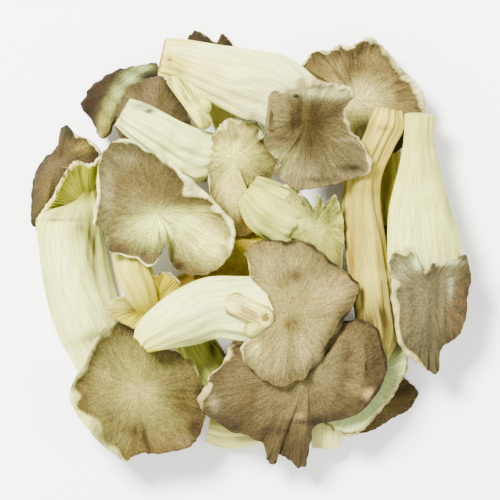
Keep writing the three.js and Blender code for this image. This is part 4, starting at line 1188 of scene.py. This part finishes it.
piece = grow_with_shoots("stem_and_cap_centre", stem_and_cap_centre, {
    "seed": 460, "columns": 256, "waviness": 0.5, "pleats": 0.16, "frill": 0.35, "ragged": 0.28,
    "cap": [(208, 202, 156), (200, 192, 148), (172, 160, 112)],
    "lips": [(17, 19, 1.0), (14, 16, 1.8)], "fringes": [(1, 9, 1.3)], "lip_height": 0.5,
    "stem": (242, 245, 218), "stem_end": (237, 238, 206), "ridges": 0.35, "cut": (232, 230, 150),
    # along the stem, the pale band at (186, 308) is a painted highlight on its upper side and the olive band
    # at (196, 340) is painted shade on its lower edge
    "stains_and_painted_light": [(293, 275, 11, 8, 0.9, (112, 96, 52)), (282, 284, 7, 7, 0.6, (150, 130, 74)),
               (310, 270, 10, 6, 0.4, (150, 134, 92)), (291, 323, 8, 8, 0.8, (146, 116, 56)),
               (300, 298, 26, 7, 0.4, (196, 182, 130)), (344, 312, 6, 10, 0.3, (150, 138, 96)),
               (268, 262, 16, 14, 0.5, (206, 198, 160)), (340, 290, 12, 18, 0.5, (214, 206, 170)),
               (300, 352, 22, 14, 0.5, (216, 210, 178)), (270, 366, 14, 10, 0.5, (214, 208, 172)),
               (330, 262, 18, 5, 0.5, (150, 144, 102)), (196, 340, 34, 4, 0.6, (206, 208, 150)),
               (186, 308, 30, 7, 0.4, (248, 250, 232)), (240, 300, 14, 20, 0.3, (240, 244, 214)),
               (256, 348, 7, 12, 0.7, (238, 236, 208)), (152, 350, 9, 4, 0.9, (232, 230, 140)),
               (262, 340, 2, 14, 0.6, (150, 136, 80))],
    "shoot_colours": [((238, 238, 206), (214, 204, 160)), ((232, 232, 192), (196, 184, 130))],
})
piece.data.materials.append(flesh_material("stem_and_cap_centre_flesh"))
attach(piece, "root")
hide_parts("stem_and_cap_centre")


# Stem and cap top
# A mushroom with a thick stem across the back, cut to a rusty face at its left end, and a dark cap.
# A side shoot grew from the stem, and the cap's left edge is curled into a lobe.
# Torn white flesh shows along the cap's top and right edges.
stem_and_cap_top = {
    "pole": (308, 122, 3), "curve": 1.7, "roll": 0,
    "humps": [(284, 112, 12, 22, 3.5), (302, 110, 5, 18, -2), (326, 124, 14, 12, -2),
              (340, 162, 18, 12, 2)],
    "rim": [(354, 96, 1), (347, 115, 0), (354, 135, -1), (360, 140, -2), (372, 167, -4), (346, 181, -5),
            (303, 191, -6), (290, 188, -6), (276, 172, -5), (280, 163, -4), (264, 147, -3), (266, 125, 0),
            (270, 104, 3), (284, 90, 5), (306, 82, 6), (330, 84, 5), (344, 88, 3)],
    "stem": [(302, 112, -10, 30), (274, 89, -9, 34), (250, 83, -8, 34), (207, 70, -6, 26),
             (180, 61, -5, 21), (160, 57, -4, 18)],
    "shoots": [[(178, 80, -5, 11), (204, 122, -8, 8)],
               [(184, 76, -5, 12), (200, 106, -8, 12)],
               [(276, 100, 1, 8), (272, 126, -1, 7)]],
}
piece = grow_with_shoots("stem_and_cap_top", stem_and_cap_top, {
    "seed": 480, "columns": 256, "waviness": 0.8, "pleats": 0.22, "frill": 0.5, "ragged": 0.28,
    "cap": [(134, 118, 70), (160, 148, 104), (184, 174, 134)],
    "lips": [(0, 4, 2.2), (13, 16, 2.6)], "lip_height": 0.45,
    "stem": (242, 243, 220), "stem_end": (234, 232, 190), "ridges": 0.4, "cut": (206, 190, 76),
    # along the stem, the pale band at (204, 52) is a painted highlight on its upper side and the olive band
    # at (230, 96) is painted shade on its lower edge
    "stains_and_painted_light": [(314, 122, 20, 14, 0.7, (118, 100, 52)), (298, 116, 9, 9, 0.5, (150, 134, 82)),
               (334, 108, 12, 9, 0.5, (146, 130, 92)), (300, 172, 24, 10, 0.6, (204, 200, 164)),
               (274, 158, 9, 5, 0.8, (214, 220, 170)), (288, 158, 10, 10, 0.6, (206, 202, 160)),
               (318, 94, 30, 5, 0.85, (224, 224, 200)), (296, 98, 6, 2.5, 0.9, (40, 32, 20)),
               (280, 112, 9, 18, 0.7, (192, 184, 142)), (292, 122, 2, 12, 0.7, (96, 80, 50)),
               (286, 140, 16, 2, 0.6, (110, 92, 56)), (348, 160, 14, 12, 0.4, (150, 138, 102)),
               (352, 168, 14, 4, 0.7, (84, 70, 46)), (322, 180, 20, 3, 0.6, (112, 98, 66)),
               (346, 140, 10, 2, 0.5, (210, 206, 176)), (230, 96, 36, 5, 0.6, (206, 206, 140)),
               (204, 52, 40, 7, 0.4, (248, 250, 232)), (176, 66, 10, 10, 0.6, (214, 196, 120)),
               (170, 62, 2, 6, 0.9, (186, 104, 50)), (180, 74, 6, 4, 0.7, (166, 150, 76)),
               (250, 84, 30, 3, 0.4, (214, 214, 160))],
    "shoot_colours": [((238, 238, 202), (206, 202, 144)), ((236, 236, 198), (200, 196, 136)),
                      ((196, 186, 146), (128, 112, 76))],
})
piece.data.materials.append(flesh_material("stem_and_cap_top_flesh"))
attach(piece, "root")
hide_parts("stem_and_cap_top")
